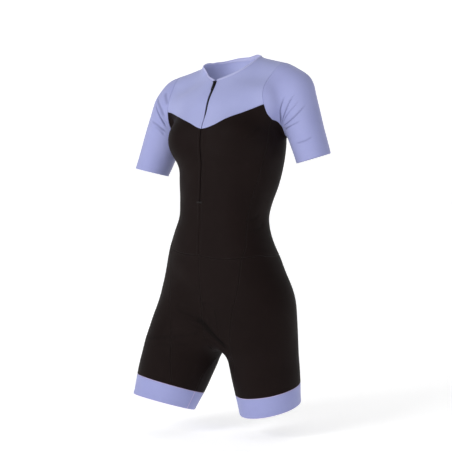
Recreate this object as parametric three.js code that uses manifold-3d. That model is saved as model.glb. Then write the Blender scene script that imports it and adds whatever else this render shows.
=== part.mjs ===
// A women's short-sleeved triathlon suit with a front zip, as it looks when it is worn.
// Millimetres, +Z up. The chest faces -Y and the wearer's left is +X. The origin is the point
// halfway between the two ends of the neckline on the shoulders.
import * as THREE from "three";
import { mergeVertices } from "three/addons/utils/BufferGeometryUtils.js";
import Module from "manifold-3d";

const wasm = await Module();
wasm.setup();

// Cloth and seams
const CLOTH = 2.0; // thickness of a panel
const SEAM_GAP = 0.3; // space between two sewn panels
const SIDES = { left: 1, right: -1 };

// The general figure that fills the suit: horizontal sections of the trunk
const TRUNK = [
  // z, half, front, back, middle
  [80, 56, -46, 62, 0],
  [0, 58, -48, 66, 0],
  [-40, 84, -60, 76, 0],
  [-80, 118, -80, 88, 0],
  [-120, 132, -99, 96, 0],
  [-165, 136, -114, 99, 0],
  [-210, 136, -118, 99, 1],
  [-250, 130, -116, 95, 2],
  [-300, 123, -115, 84, -1],
  [-345, 113, -115, 72, -6],
  [-380, 110, -114, 68, -10],
  [-425, 124, -114, 75, -14],
  [-475, 147, -113, 90, -16],
  [-530, 161, -110, 102, -16],
  [-590, 160, -102, 106, -16],
  [-650, 154, -94, 99, -16],
  [-730, 146, -90, 88, -16],
];
const SECTION_POWER = 2.25; // 2 is an ellipse, more is squarer
const TRUNK_FLOOR = { z: -688, blend: 56 };
const CUP = { middle: [62, -76, -196], reach: [60, 56, 52], blend: 38 };
const CHEST = { inner: [40, -50, -130], outer: [120, -33, -110], radius: [38, 38], blend: 42 };
const SHOULDERS = {
  left: { inner: [44, 14, -49], outer: [130, 14, -77], radius: [50, 50] },
  right: { inner: [-44, 14, -49], outer: [-158, 2, -74], radius: [50, 52] },
};
const SHOULDER_BLEND = 26;
// The cloth stands away round the right front of the neck
const NECK_STAND = { from: [-44, -37, -20], to: [-66, -8, -18], radius: [16, 16], blend: 10 };
const ARMS = {
  left: {
    top: [167, 16, -96], way: [0.22, 0.2, -1], radius: [48, 41],
    swell: 0, length: 154, level: [0, 0],
  },
  right: {
    top: [-174, -10, -108], way: [-0.38, -0.12, -1], radius: [53, 42],
    swell: 0, length: 170, level: [6, 0],
  },
};
const ARM_BLEND = 20;
const LEGS = {
  left: {
    top: [70, 0, -590], way: [0.04, 0.17, -1], radius: [89, 75],
    swell: 3, length: 238, level: [-5, 5],
  },
  right: {
    top: [-100, -16, -612], way: [-0.25, -0.25, -1], radius: [89, 74],
    swell: 8, length: 244, level: [8, 0],
  },
};
const LEG_BLEND = 40;
const CROTCH_BLEND = 20;
// Each level tips sideways: its rise for each millimetre towards the wearer's left
const LEAN = [
  // z, rise
  [0, 0.07],
  [-40, 0.05],
  [-110, 0],
  [-260, 0],
  [-340, -0.04],
  [-430, -0.1],
  [-900, -0.1],
];

const add = (a, b, k = 1) => [a[0] + b[0] * k, a[1] + b[1] * k, a[2] + b[2] * k];
const minus = (a, b) => add(a, b, -1);
const times = (a, k) => [a[0] * k, a[1] * k, a[2] * k];
const dot = (a, b) => a[0] * b[0] + a[1] * b[1] + a[2] * b[2];
const cross = (a, b) => [
  a[1] * b[2] - a[2] * b[1],
  a[2] * b[0] - a[0] * b[2],
  a[0] * b[1] - a[1] * b[0],
];
const size = (a) => Math.sqrt(dot(a, a));
const unit = (a) => times(a, 1 / (size(a) || 1));
const mix = (a, b, t) => add(times(a, 1 - t), b, t);
const clamp = (v, low, high) => Math.min(high, Math.max(low, v));
const degrees = (d) => (d * Math.PI) / 180;

function softMin(a, b, k) {
  const h = clamp(0.5 + (0.5 * (b - a)) / k, 0, 1);
  return b + (a - b) * h - k * h * (1 - h);
}

const softMax = (a, b, k) => -softMin(-a, -b, k);

// Smooth values of a table's columns at x, where its first column falls or rises
function readTable(table, x) {
  const rows = table[0][0] > table[table.length - 1][0] ? [...table].reverse() : table;
  const at = clamp(x, rows[0][0], rows[rows.length - 1][0]);
  let i = 0;
  while (i < rows.length - 2 && at > rows[i + 1][0]) i++;
  const slope = (j, c) => {
    const low = Math.max(0, j - 1);
    const high = Math.min(rows.length - 1, j + 1);
    return (rows[high][c] - rows[low][c]) / (rows[high][0] - rows[low][0]);
  };
  const span = rows[i + 1][0] - rows[i][0];
  const t = (at - rows[i][0]) / span;
  return rows[i].slice(1).map((value, n) => {
    const c = n + 1;
    const away = (t - 1) ** 2;
    return (
      (1 + 2 * t) * away * value +
      t * away * span * slope(i, c) +
      t * t * (3 - 2 * t) * rows[i + 1][c] +
      t * t * (t - 1) * span * slope(i + 1, c)
    );
  });
}

// The same, with straight lines between the rows
function readStraight(table, x) {
  let i = 0;
  while (i < table.length - 2 && x < table[i + 1][0]) i++;
  const [a, b] = [table[i], table[i + 1]];
  return a[1] + (b[1] - a[1]) * clamp((x - a[0]) / (b[0] - a[0]), 0, 1);
}

function trunkAt(z) {
  const [half, front, back, middle] = readTable(TRUNK, z);
  return { half, front, back, middle };
}

function trunk(p) {
  const { half, front, back, middle } = trunkAt(p[2]);
  const x = p[0] - middle;
  const y = p[1] - (front + back) / 2;
  const depth = (back - front) / 2;
  const r = Math.hypot(x, y) + 1e-9;
  const gauge =
    (Math.abs(x) / half) ** SECTION_POWER + (Math.abs(y) / depth) ** SECTION_POWER;
  return r - r / Math.max(gauge ** (1 / SECTION_POWER), 1e-9);
}

function egg(p, middle, reach) {
  const q = minus(p, middle);
  const k0 = Math.hypot(q[0] / reach[0], q[1] / reach[1], q[2] / reach[2]);
  const k1 = Math.hypot(q[0] / reach[0] ** 2, q[1] / reach[1] ** 2, q[2] / reach[2] ** 2);
  return (k0 * (k0 - 1)) / (k1 + 1e-9);
}

// Distance to a cone with round ends
function roundCone(p, a, b, ra, rb) {
  const ba = minus(b, a);
  const l2 = dot(ba, ba);
  const rr = ra - rb;
  const a2 = l2 - rr * rr;
  const pa = minus(p, a);
  const y = dot(pa, ba);
  const z = y - l2;
  const across = minus(times(pa, l2), times(ba, y));
  const x2 = dot(across, across);
  const y2 = y * y * l2;
  const z2 = z * z * l2;
  const k = Math.sign(rr) * rr * rr * x2;
  if (Math.sign(z) * a2 * z2 > k) return Math.sqrt(x2 + z2) / l2 - rb;
  if (Math.sign(y) * a2 * y2 < k) return Math.sqrt(x2 + y2) / l2 - ra;
  return (Math.sqrt((x2 * a2) / l2) + y * rr) / l2 - ra;
}

const mirrored = (p, side) => [p[0] * SIDES[side], p[1], p[2]];
const limbEnd = (limb) => add(limb.top, unit(limb.way), limb.length);
const riseOf = (z) => readTable(LEAN, z)[0];
const lean = (p) => p[0] * riseOf(p[2]);

function limbCone(p, limb) {
  const t = clamp(dot(minus(p, limb.top), unit(limb.way)) / limb.length, 0, 1);
  return roundCone(p, limb.top, limbEnd(limb), ...limb.radius) - limb.swell * 4 * t * (1 - t);
}

// Below zero inside the figure, zero on the cloth's outer face
function figure(point) {
  const p = [point[0], point[1], point[2] - lean(point)];
  let d = softMax(trunk(p), TRUNK_FLOOR.z - p[2], TRUNK_FLOOR.blend);
  for (const side in SIDES) {
    d = softMin(d, egg(p, mirrored(CUP.middle, side), CUP.reach), CUP.blend);
  }
  for (const side in SIDES) {
    const [inner, outer] = [mirrored(CHEST.inner, side), mirrored(CHEST.outer, side)];
    d = softMin(d, roundCone(p, inner, outer, ...CHEST.radius), CHEST.blend);
  }
  for (const { inner, outer, radius } of Object.values(SHOULDERS)) {
    d = softMin(d, roundCone(p, inner, outer, ...radius), SHOULDER_BLEND);
  }
  const legs = softMin(limbCone(p, LEGS.left), limbCone(p, LEGS.right), CROTCH_BLEND);
  d = softMin(d, legs, LEG_BLEND);
  for (const side in SIDES) d = softMin(d, limbCone(p, ARMS[side]), ARM_BLEND);
  const { from, to, radius, blend } = NECK_STAND;
  return softMin(d, roundCone(p, from, to, ...radius), blend);
}

function slope(p) {
  const e = 0.5;
  return [0, 1, 2].map((i) => {
    const step = [0, 0, 0];
    step[i] = e;
    return (figure(add(p, step)) - figure(minus(p, step))) / (2 * e);
  });
}

const outward = (p) => unit(slope(p));

// Moves a point onto the figure's surface
function settle(p) {
  let q = p;
  for (let i = 0; i < 8; i++) {
    const g = slope(q);
    const d = figure(q);
    if (Math.abs(d) < 0.003) break;
    q = add(q, g, -d / Math.max(dot(g, g), 0.2));
  }
  return q;
}

// Where a line from inside the figure comes out
function cast(from, way) {
  const w = unit(way);
  let t = 0;
  for (let i = 0; i < 80; i++) {
    const d = figure(add(from, w, t));
    if (d > -0.02) break;
    t -= d * 0.75;
  }
  return settle(add(from, w, t));
}

// Places on the figure
const turn = (angle) => [Math.sin(degrees(angle)), -Math.cos(degrees(angle))];

// angle 0 is the centre front, 90 the wearer's left side, 180 the centre back
function ring(angle, z) {
  const { front, back, middle } = trunkAt(z);
  const [x, y] = turn(angle);
  const rise = riseOf(z);
  return cast([middle, (front + back) / 2, z + middle * rise], [x, y, x * rise]);
}

const NECK_MIDDLE = [0, 5, -120];
function dome(angle, up) {
  const [x, y] = turn(angle);
  const flat = Math.cos(degrees(up));
  return cast(NECK_MIDDLE, [x * flat, y * flat, Math.sin(degrees(up))]);
}

const frontAt = (x, z) => cast([x, -30, z + x * riseOf(z)], [0, -1, 0]);
const backAt = (x, z) => cast([x, 30, z + x * riseOf(z)], [0, 1, 0]);

const ARMHOLE_MIDDLE = { y: 8, z: -95 };
function armholeAt(side, angle, x) {
  const { y, z } = ARMHOLE_MIDDLE;
  const from = [x * SIDES[side], y, z + x * SIDES[side] * riseOf(z)];
  return cast(from, [0, -Math.cos(degrees(angle)), Math.sin(degrees(angle))]);
}

// angle 0 is the limb's front, 90 its outer side, -90 its inner side
function limbAt(limb, side, angle, along) {
  const axis = unit(limb.way);
  const square = (v) => unit(minus(v, times(axis, dot(v, axis))));
  const front = square([0, -1, 0]);
  const out = square([SIDES[side], 0, 0]);
  const [cos, sin] = [Math.cos(degrees(angle)), Math.sin(degrees(angle))];
  const way = add(times(front, cos), out, sin);
  const level = (limb.level[0] * sin + limb.level[1] * cos) * clamp(along / limb.length, 0, 1);
  const middle = add(limb.top, axis, along);
  middle[2] += lean(middle);
  const place = cast(middle, way);
  return level ? settle(add(place, axis, level)) : place;
}

const RISE_MIDDLE = [-16, 0, -600];
const riseAt = (down) =>
  cast(RISE_MIDDLE, [0, -Math.cos(degrees(down)), -Math.sin(degrees(down))]);

// A seam: a smooth line through a few places, cut into equal steps on the figure
function seam(places, steps) {
  const curve = new THREE.CatmullRomCurve3(
    places.map((p) => new THREE.Vector3(...p)),
    false,
    "centripetal",
  );
  curve.arcLengthDivisions = 400;
  const points = [];
  for (let i = 0; i <= steps; i++) points.push(settle(curve.getPointAt(i / steps).toArray()));
  points[0] = places[0];
  points[steps] = places[places.length - 1];
  return points;
}

const joined = (...lines) =>
  lines.reduce((whole, line) => (whole.length ? [...whole, ...line.slice(1)] : [...line]), []);
const back = (line) => [...line].reverse();

// Seam lines, as places on the figure
const NECK_FRONT = -60;
const NECKLINE = {
  // angle, up
  left: [
    [25, 42],
    [50, 46.5],
    [72, 51.5],
    [90, 56],
    [120, 61.6],
    [150, 64],
    [180, 64],
  ],
  right: [
    [25, 45.5],
    [50, 53],
    [72, 56.7],
    [90, 58.6],
    [120, 61.4],
    [150, 63.4],
    [180, 64],
  ],
};
const BINDING = { height: 4.5, front: -55.5, thick: 2.2, raise: 0.2 };
const SHOULDER_ROW = 3; // the neckline's place on the shoulder
const YOKE_POINT = -175; // the lowest point of the front yoke
const YOKE_FRONT = {
  // x, z
  left: [
    [22, -172],
    [44, -166],
    [85, -146],
  ],
  right: [
    [14, -171],
    [35, -160],
    [60, -150],
    [99, -138],
  ],
};
const YOKE_BACK = [
  // x, z
  [0, -128],
  [50, -123],
  [100, -112],
];
const ARMHOLE = {
  // angle, x
  left: [
    [88, 149],
    [60, 141],
    [40, 133],
    [18, 132],
    [-9, 136],
    [-30, 139],
    [-52, 141],
    [-70, 143],
    [-90, 143],
    [-110, 139],
    [-129, 138],
    [-150, 141],
    [-165, 144],
    [-200, 143],
    [-235, 143],
    [-272, 149],
  ],
  right: [
    [88, 150],
    [60, 148],
    [30, 148],
    [-9, 151],
    [-21, 154],
    [-35, 156],
    [-52, 154],
    [-70, 149],
    [-90, 143],
    [-110, 138],
    [-129, 137],
    [-150, 141],
    [-165, 145],
    [-200, 147],
    [-235, 148],
    [-272, 150],
  ],
};
const ARM_CORNERS = { shoulder: 88, yoke: -21, princess: -52, backPrincess: -129, backYoke: -165 };
const PRINCESS = [
  // angle, z
  [75, -197],
  [71, -262],
  [68, -340],
  [65, -405],
  [61, -441],
];
const BACK_PRINCESS = [
  // angle, z
  [118, -215],
  [128, -300],
  [132, -380],
];
const WAIST = [
  // angle, z
  [0, -470],
  [30, -472],
  [55, -465],
  [75, -457],
  [90, -456],
  [132, -458],
  [180, -460],
];
const WAIST_CORNERS = { front: 55, back: 132 };
const BAND = 48; // height of a leg band
const LEG_CORNERS = { inseam: -88, front: -42, back: 158, round: 272 };
const YOKE_EDGE = [-80, -115, -145]; // z of places on the front edges
const BODICE_EDGE = [-230, -290];
const CENTRE_LOW = [-385, -430];
const WAIST_FRONT = [14, 28, 42]; // angles
const RISE = { x: -16, z: [-530, -585], frontDown: [30, 60], backDown: [150, 120] };
const INSEAM = { along: 140 };
const LEG_FRONT = {
  trunk: [
    // angle, z
    [47, -540],
    [40, -600],
  ],
  leg: [
    // angle, along
    [-14, 80],
    [-26, 140],
  ],
};
const LEG_BACK = {
  trunk: [
    // angle, z
    [131, -530],
    [131, -590],
  ],
  leg: [
    // angle, along
    [168, 95],
  ],
};
const CENTRE_FRONT = [
  // z, x
  [-50, 0],
  [-170, -1],
  [-250, -6],
  [-345, -11],
  [-470, -16],
];
const ZIP = { end: -346, half: 3.3, gap: 0.5, thick: 1.6 };
// Half the space between the front edges: wide round the slider, nearly shut below it
const ZIP_OPENING = [
  // z, half
  [-40, 3.6],
  [-80, 3.6],
  [-115, 2.0],
  [-150, 0.9],
  [-346, 0.9],
  [-351, 0],
  [-500, 0],
];
const STOP_BAR = { half: 8, top: -343, height: 5, thick: 1.2, raise: 0.4 };

// Steps along the seams; panels on both sides of a seam share its points
const STEPS = {
  yokeSide: 6,
  yokeLow: 8,
  armLow: 3,
  underarm: 10,
  princess: 13,
  zip: 9,
  rise: 10,
  inseam: 6,
  sleeve: 8,
  band: 3,
};

const centreAt = (z) => readTable(CENTRE_FRONT, z)[0];

function frontEdge(side, z) {
  const open = readStraight(ZIP_OPENING, z);
  return frontAt(centreAt(z) + SIDES[side] * open, z);
}

const waistAt = (side, angle) => ring(SIDES[side] * angle, readTable(WAIST, angle)[0]);

function waistLine(side, from, to, steps) {
  const places = [0, 0.25, 0.5, 0.75, 1].map((t) => waistAt(side, from + (to - from) * t));
  return seam(places, steps);
}

function armholeLine(side, from, to, steps) {
  const pieces = Math.max(2, Math.round(Math.abs(to - from) / 14));
  const places = [];
  for (let i = 0; i <= pieces; i++) {
    const angle = from + ((to - from) * i) / pieces;
    places.push(armholeAt(side, angle, readTable(ARMHOLE[side], angle)[0]));
  }
  return seam(places, steps);
}

function bandLine(side, from, to, steps, along) {
  const line = [];
  for (let i = 0; i <= steps; i++) {
    line.push(limbAt(LEGS[side], side, from + ((to - from) * i) / steps, along));
  }
  return line;
}

function seamsOf(side) {
  const s = SIDES[side];
  const leg = LEGS[side];
  const bandTop = leg.length - BAND;
  const at = ARM_CORNERS;
  const { yokeSide, yokeLow, armLow, underarm, princess, rise, inseam } = STEPS;
  const neck = NECKLINE[side].map(([angle, up]) => dome(s * angle, up));
  const neckFront = frontEdge(side, NECK_FRONT);
  const onShoulder = neck[SHOULDER_ROW];
  const armTop = armholeAt(side, at.shoulder, readTable(ARMHOLE[side], at.shoulder)[0]);
  const armhole = {
    front: armholeLine(side, at.shoulder, at.yoke, yokeSide),
    frontLow: armholeLine(side, at.yoke, at.princess, armLow),
    under: armholeLine(side, at.princess, at.backPrincess, underarm),
    backLow: armholeLine(side, at.backPrincess, at.backYoke, armLow),
    back: armholeLine(side, at.backYoke, at.shoulder - 360, yokeSide),
  };
  const yokePoint = frontEdge(side, YOKE_POINT);
  const zipEnd = frontEdge(side, ZIP.end);
  const waistMiddle = frontEdge(side, WAIST[0][1]);
  const waistAngles = [...WAIST_FRONT, WAIST_CORNERS.front];
  const waistFront = seam([waistMiddle, ...waistAngles.map((a) => waistAt(side, a))], yokeLow);
  const waistSide = waistLine(side, WAIST_CORNERS.front, WAIST_CORNERS.back, underarm);
  const waistBack = waistLine(side, WAIST_CORNERS.back, 180, yokeLow);
  const centre = seam(
    [...[ZIP.end, ...CENTRE_LOW].map((z) => frontAt(centreAt(z), z)), waistMiddle],
    princess + armLow - STEPS.zip,
  );
  const crotch = riseAt(90);
  const bandFront = bandLine(side, LEG_CORNERS.inseam, LEG_CORNERS.front, yokeLow, bandTop);
  const bandSide = bandLine(side, LEG_CORNERS.front, LEG_CORNERS.back, underarm, bandTop);
  const bandBack = bandLine(side, LEG_CORNERS.back, LEG_CORNERS.round, yokeLow, bandTop);
  return {
    neckFront: seam([neckFront, ...neck.slice(0, SHOULDER_ROW + 1)], yokeSide + yokeLow),
    neckBack: seam(neck.slice(SHOULDER_ROW), yokeSide + yokeLow),
    shoulder: seam([onShoulder, settle(mix(onShoulder, armTop, 0.5)), armTop], yokeSide),
    armhole,
    yokeEdge: seam(
      [neckFront, ...YOKE_EDGE.map((z) => frontEdge(side, z)), yokePoint],
      yokeSide,
    ),
    yokeFront: seam(
      [yokePoint, ...YOKE_FRONT[side].map(([x, z]) => frontAt(s * x, z)), armhole.frontLow[0]],
      yokeLow,
    ),
    yokeBack: seam(
      [...YOKE_BACK.map(([x, z]) => backAt(s * x, z)), armhole.back[0]],
      yokeLow,
    ),
    bodiceEdge: joined(
      seam([yokePoint, ...BODICE_EDGE.map((z) => frontEdge(side, z)), zipEnd], STEPS.zip),
      [zipEnd, ...centre.slice(1)],
    ),
    princess: seam(
      [armhole.under[0], ...PRINCESS.map(([a, z]) => ring(s * a, z)), waistSide[0]],
      princess,
    ),
    backPrincess: seam(
      [armhole.backLow[0], ...BACK_PRINCESS.map(([a, z]) => ring(s * a, z)), waistBack[0]],
      princess,
    ),
    waistFront,
    waistSide,
    waistBack,
    riseFront: seam(
      [waistMiddle, ...RISE.z.map((z) => frontAt(RISE.x, z)), ...RISE.frontDown.map(riseAt), crotch],
      rise,
    ),
    riseBack: seam(
      [
        waistBack[yokeLow],
        ...RISE.z.map((z) => ring(180, z)),
        ...RISE.backDown.map(riseAt),
        crotch,
      ],
      rise,
    ),
    inseam: seam(
      [crotch, limbAt(leg, side, LEG_CORNERS.inseam, INSEAM.along), bandFront[0]],
      inseam,
    ),
    legFront: seam(
      [
        waistSide[0],
        ...LEG_FRONT.trunk.map(([a, z]) => ring(s * a, z)),
        ...LEG_FRONT.leg.map(([a, along]) => limbAt(leg, side, a, along)),
        bandSide[0],
      ],
      rise + inseam,
    ),
    legBack: seam(
      [
        waistBack[0],
        ...LEG_BACK.trunk.map(([a, z]) => ring(s * a, z)),
        ...LEG_BACK.leg.map(([a, along]) => limbAt(leg, side, a, along)),
        bandBack[0],
      ],
      rise + inseam,
    ),
    bandFront,
    bandSide,
    bandBack,
  };
}

const EVENING_ROUNDS = 30;

// Rows of points on the figure between four seams, evened out. A piece with no seams at
// its sides is a tube of so many steps.
function fill(top, bottom, sides, steps = sides[0].length - 1) {
  const closed = !sides;
  const m = steps;
  const n = closed ? top.length : top.length - 1;
  const grid = [];
  for (let i = 0; i <= m; i++) {
    const v = i / m;
    const row = [];
    for (let j = 0; j < top.length; j++) {
      const u = j / n;
      let p = mix(top[j], bottom[j], v);
      if (!closed) {
        const across = mix(sides[0][i], sides[1][i], u);
        const corners = mix(mix(top[0], top[n], u), mix(bottom[0], bottom[n], u), v);
        p = minus(add(p, across), corners);
      }
      const fixed = i === 0 || i === m || (!closed && (j === 0 || j === n));
      row.push(fixed ? p : settle(p));
    }
    grid.push(row);
  }
  const width = top.length;
  for (let round = 0; round < EVENING_ROUNDS; round++) {
    for (let i = 1; i < m; i++) {
      for (let j = closed ? 0 : 1; j < (closed ? width : n); j++) {
        const beside = add(grid[i][(j + 1) % width], grid[i][(j + width - 1) % width]);
        const all = add(beside, add(grid[i - 1][j], grid[i + 1][j]));
        grid[i][j] = settle(times(all, 0.25));
      }
    }
  }
  return grid;
}

// A closed wall on a grid of points, its edges drawn back from the seams
function wall(grid, { closed = false, lift = 0, thick = CLOTH, edge = SEAM_GAP / 2 } = {}) {
  const m = grid.length;
  const n = grid[0].length;
  const at = (i, j) => grid[i][closed ? (j + n) % n : j];
  const normals = grid.map((row) => row.map(outward));
  const inside = (i, j) => i >= 0 && i < m && (closed || (j >= 0 && j < n));
  function drawnBack(i, j) {
    const p = at(i, j);
    const pulls = [];
    for (const [di, dj] of [[1, 0], [-1, 0], [0, 1], [0, -1]]) {
      if (inside(i - di, j - dj)) continue;
      const [ti, tj] = [dj ? 1 : 0, dj ? 0 : 1];
      const ahead = inside(i + ti, j + tj) ? at(i + ti, j + tj) : p;
      const behind = inside(i - ti, j - tj) ? at(i - ti, j - tj) : p;
      let pull = unit(cross(normals[i][j], minus(ahead, behind)));
      if (dot(pull, minus(at(i + di, j + dj), p)) < 0) pull = times(pull, -1);
      pulls.push(pull);
    }
    if (!pulls.length) return p;
    if (pulls.length === 1) return add(p, pulls[0], edge);
    const share = edge / Math.max(0.3, 1 + dot(pulls[0], pulls[1]));
    return add(p, add(pulls[0], pulls[1]), share);
  }
  const points = [];
  for (const depth of [lift, lift - thick]) {
    for (let i = 0; i < m; i++) {
      for (let j = 0; j < n; j++) points.push(...add(drawnBack(i, j), normals[i][j], depth));
    }
  }
  const sheet = m * n;
  const id = (i, j, layer) => layer * sheet + i * n + (closed ? (j + n) % n : j);
  const faces = [];
  const vertex = (k) => points.slice(3 * k, 3 * k + 3);
  const apart = (a, b) => size(minus(vertex(a), vertex(b)));
  function quad(a, b, c, d) {
    if (apart(a, c) < apart(b, d)) faces.push(a, b, c, a, c, d);
    else faces.push(a, b, d, b, c, d);
  }
  const down = minus(at(1, 0), at(0, 0));
  const along = minus(at(0, 1), at(0, 0));
  const flip = dot(cross(down, along), normals[0][0]) < 0;
  const put = (a, b, c, d) => (flip ? quad(d, c, b, a) : quad(a, b, c, d));
  for (let i = 0; i < m - 1; i++) {
    for (let j = 0; j < (closed ? n : n - 1); j++) {
      put(id(i, j, 0), id(i + 1, j, 0), id(i + 1, j + 1, 0), id(i, j + 1, 0));
      put(id(i, j, 1), id(i, j + 1, 1), id(i + 1, j + 1, 1), id(i + 1, j, 1));
    }
  }
  for (let j = 0; j < (closed ? n : n - 1); j++) {
    put(id(0, j, 0), id(0, j + 1, 0), id(0, j + 1, 1), id(0, j, 1));
    put(id(m - 1, j + 1, 0), id(m - 1, j, 0), id(m - 1, j, 1), id(m - 1, j + 1, 1));
  }
  for (let i = 0; i < m - 1 && !closed; i++) {
    put(id(i + 1, 0, 0), id(i, 0, 0), id(i, 0, 1), id(i + 1, 0, 1));
    put(id(i, n - 1, 0), id(i + 1, n - 1, 0), id(i + 1, n - 1, 1), id(i, n - 1, 1));
  }
  const geometry = new THREE.BufferGeometry();
  geometry.setAttribute("position", new THREE.Float32BufferAttribute(points, 3));
  geometry.setIndex(faces);
  geometry.computeVertexNormals();
  return geometry;
}

const lavender = new THREE.MeshStandardMaterial({ color: 0xa9aed9, roughness: 0.72 });
const lavenderSleeve = new THREE.MeshStandardMaterial({ color: 0xa0a7d6, roughness: 0.72 });
const black = new THREE.MeshStandardMaterial({ color: 0x1e1a19, roughness: 0.66 });
const grip = new THREE.MeshStandardMaterial({ color: 0xa4abdc, roughness: 0.6 });
const trim = new THREE.MeshStandardMaterial({ color: 0xb4b7de, roughness: 0.7 });
const zipPlastic = new THREE.MeshStandardMaterial({ color: 0x151313, roughness: 0.45 });

const suit = new THREE.Group();

function piece(name, geometry, material) {
  const mesh = new THREE.Mesh(geometry, material);
  mesh.name = name;
  suit.add(mesh);
}

const seams = { left: seamsOf("left"), right: seamsOf("right") };

for (const side in SIDES) {
  const e = seams[side];
  const { armhole } = e;
  const outerYoke = joined(armhole.front, back(e.yokeFront));
  piece(
    `yoke_front_${side}`,
    wall(fill(e.neckFront, back(outerYoke), [e.yokeEdge, e.shoulder])),
    lavender,
  );
  piece(
    `bodice_front_${side}`,
    wall(fill(e.yokeFront, e.waistFront, [e.bodiceEdge, joined(armhole.frontLow, e.princess)])),
    black,
  );
  piece(
    `side_panel_${side}`,
    wall(fill(armhole.under, e.waistSide, [e.princess, e.backPrincess])),
    black,
  );
}
{
  const { left, right } = seams;
  const outer = joined(
    back(left.armhole.back),
    back(left.yokeBack),
    right.yokeBack,
    right.armhole.back,
  );
  const neck = joined(left.neckBack, back(right.neckBack));
  piece("yoke_back", wall(fill(neck, outer, [left.shoulder, right.shoulder])), lavender);
  const low = (side) => joined(back(side.armhole.backLow), side.backPrincess);
  piece(
    "bodice_back",
    wall(
      fill(
        joined(back(left.yokeBack), right.yokeBack),
        joined(left.waistBack, back(right.waistBack)),
        [low(left), low(right)],
      ),
    ),
    black,
  );
}
for (const side in SIDES) {
  const e = seams[side];
  const whole = joined(...Object.values(e.armhole)).slice(0, -1);
  const hem = whole.map((p) => {
    const up = p[2] - ARMHOLE_MIDDLE.z - lean(p);
    const angle = (Math.atan2(up, ARMHOLE_MIDDLE.y - p[1]) * 180) / Math.PI;
    return limbAt(ARMS[side], side, angle, ARMS[side].length);
  });
  const tube = fill(whole, hem, null, STEPS.sleeve);
  piece(`sleeve_${side}`, wall(tube, { closed: true }), lavenderSleeve);
}
for (const side in SIDES) {
  const e = seams[side];
  const insideFront = joined(e.riseFront, e.inseam);
  const insideBack = joined(e.riseBack, e.inseam);
  piece(
    `shorts_front_${side}`,
    wall(fill(e.waistFront, e.bandFront, [insideFront, e.legFront])),
    black,
  );
  piece(`shorts_side_${side}`, wall(fill(e.waistSide, e.bandSide, [e.legFront, e.legBack])), black);
  piece(`shorts_back_${side}`, wall(fill(e.waistBack, e.bandBack, [e.legBack, insideBack])), black);
  const rows = [];
  for (let i = 0; i <= STEPS.band; i++) {
    const along = LEGS[side].length - BAND + (BAND * i) / STEPS.band;
    const { inseam, front, back: behind, round } = LEG_CORNERS;
    rows.push(
      joined(
        bandLine(side, inseam, front, STEPS.yokeLow, along),
        bandLine(side, front, behind, STEPS.underarm, along),
        bandLine(side, behind, round, STEPS.yokeLow, along),
      ).slice(0, -1),
    );
  }
  piece(`leg_band_${side}`, wall(rows, { closed: true }), grip);
}

// The neck edge's binding stands up from the yokes, from one zip edge round to the other
function bindingRows() {
  const { left, right } = seams;
  const low = joined(left.neckFront, left.neckBack, back(right.neckBack), back(right.neckFront));
  const high = low.map((p) => {
    const q = minus(p, NECK_MIDDLE);
    const flat = Math.hypot(q[0], q[1]);
    const angle = (Math.atan2(q[0], -q[1]) * 180) / Math.PI;
    const up = Math.atan2(q[2], flat) + BINDING.height / size(q);
    return dome(angle, (up * 180) / Math.PI);
  });
  high[0] = frontEdge("left", BINDING.front);
  high[high.length - 1] = frontEdge("right", BINDING.front);
  return [high, low];
}

// A strip of points down the centre front
function frontStrip(top, bottom, half, rows, columns) {
  const grid = [];
  for (let i = 0; i <= rows; i++) {
    const z = top + ((bottom - top) * i) / rows;
    const row = [];
    for (let j = 0; j <= columns; j++) {
      row.push(frontAt(centreAt(z) + half * ((2 * j) / columns - 1), z));
    }
    grid.push(row);
  }
  return grid;
}

piece("neck_binding", wall(bindingRows(), { lift: BINDING.raise, thick: BINDING.thick }), trim);

// The chain lies under the front edges, with a row wherever they have a point
function chainRows() {
  const edge = (e) => joined(e.yokeEdge, e.bodiceEdge.slice(0, STEPS.zip + 1));
  const right = edge(seams.right);
  const line = edge(seams.left).map((p, i) => settle(mix(p, right[i], 0.5)));
  line.unshift(frontAt(0, BINDING.front - 1));
  return line.map((p) => [1, 0, -1].map((x) => settle(add(p, [x * ZIP.half, 0, 0]))));
}

piece(
  "zip_chain",
  wall(chainRows(), { lift: -CLOTH - ZIP.gap, thick: ZIP.thick }),
  zipPlastic,
);
piece(
  "zip_stop_bar",
  wall(frontStrip(STOP_BAR.top, STOP_BAR.top - STOP_BAR.height, STOP_BAR.half, 1, 6), {
    lift: STOP_BAR.thick + STOP_BAR.raise,
    thick: STOP_BAR.thick,
  }),
  black,
);

// The slider and its pull tab lie on the chain at the neck. Their own frame has x across,
// y up the zip and z out of the cloth.
const SLIDER = { width: 6.4, length: 11, thick: 3, place: -65, depth: 2.1, corner: 1.6 };
const LUG = { thick: 0.9, radius: 1.8, pin: 0.75, height: 2.3, up: 2.6, room: 0.35, foot: 0.6 };
const TAB = { head: 4, width: 5.4, length: 24, thick: 1.5, eye: 1.8, hole: 1.1, tip: 2.4 };
const TAB_SLOT = { up: 4.6, half: 1.2, reach: 2 };

function merged(geometry) {
  geometry.deleteAttribute("normal");
  geometry.deleteAttribute("uv");
  return mergeVertices(geometry, 1e-4);
}

function solid(geometry) {
  const bare = merged(geometry);
  return new wasm.Manifold(
    new wasm.Mesh({
      numProp: 3,
      vertProperties: new Float32Array(bare.attributes.position.array),
      triVerts: new Uint32Array(bare.index.array),
    }),
  );
}

function fromSolid(whole) {
  const mesh = whole.getMesh();
  const geometry = new THREE.BufferGeometry();
  geometry.setAttribute("position", new THREE.BufferAttribute(mesh.vertProperties, 3));
  geometry.setIndex(new THREE.BufferAttribute(mesh.triVerts, 1));
  geometry.computeVertexNormals();
  return geometry;
}

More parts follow.
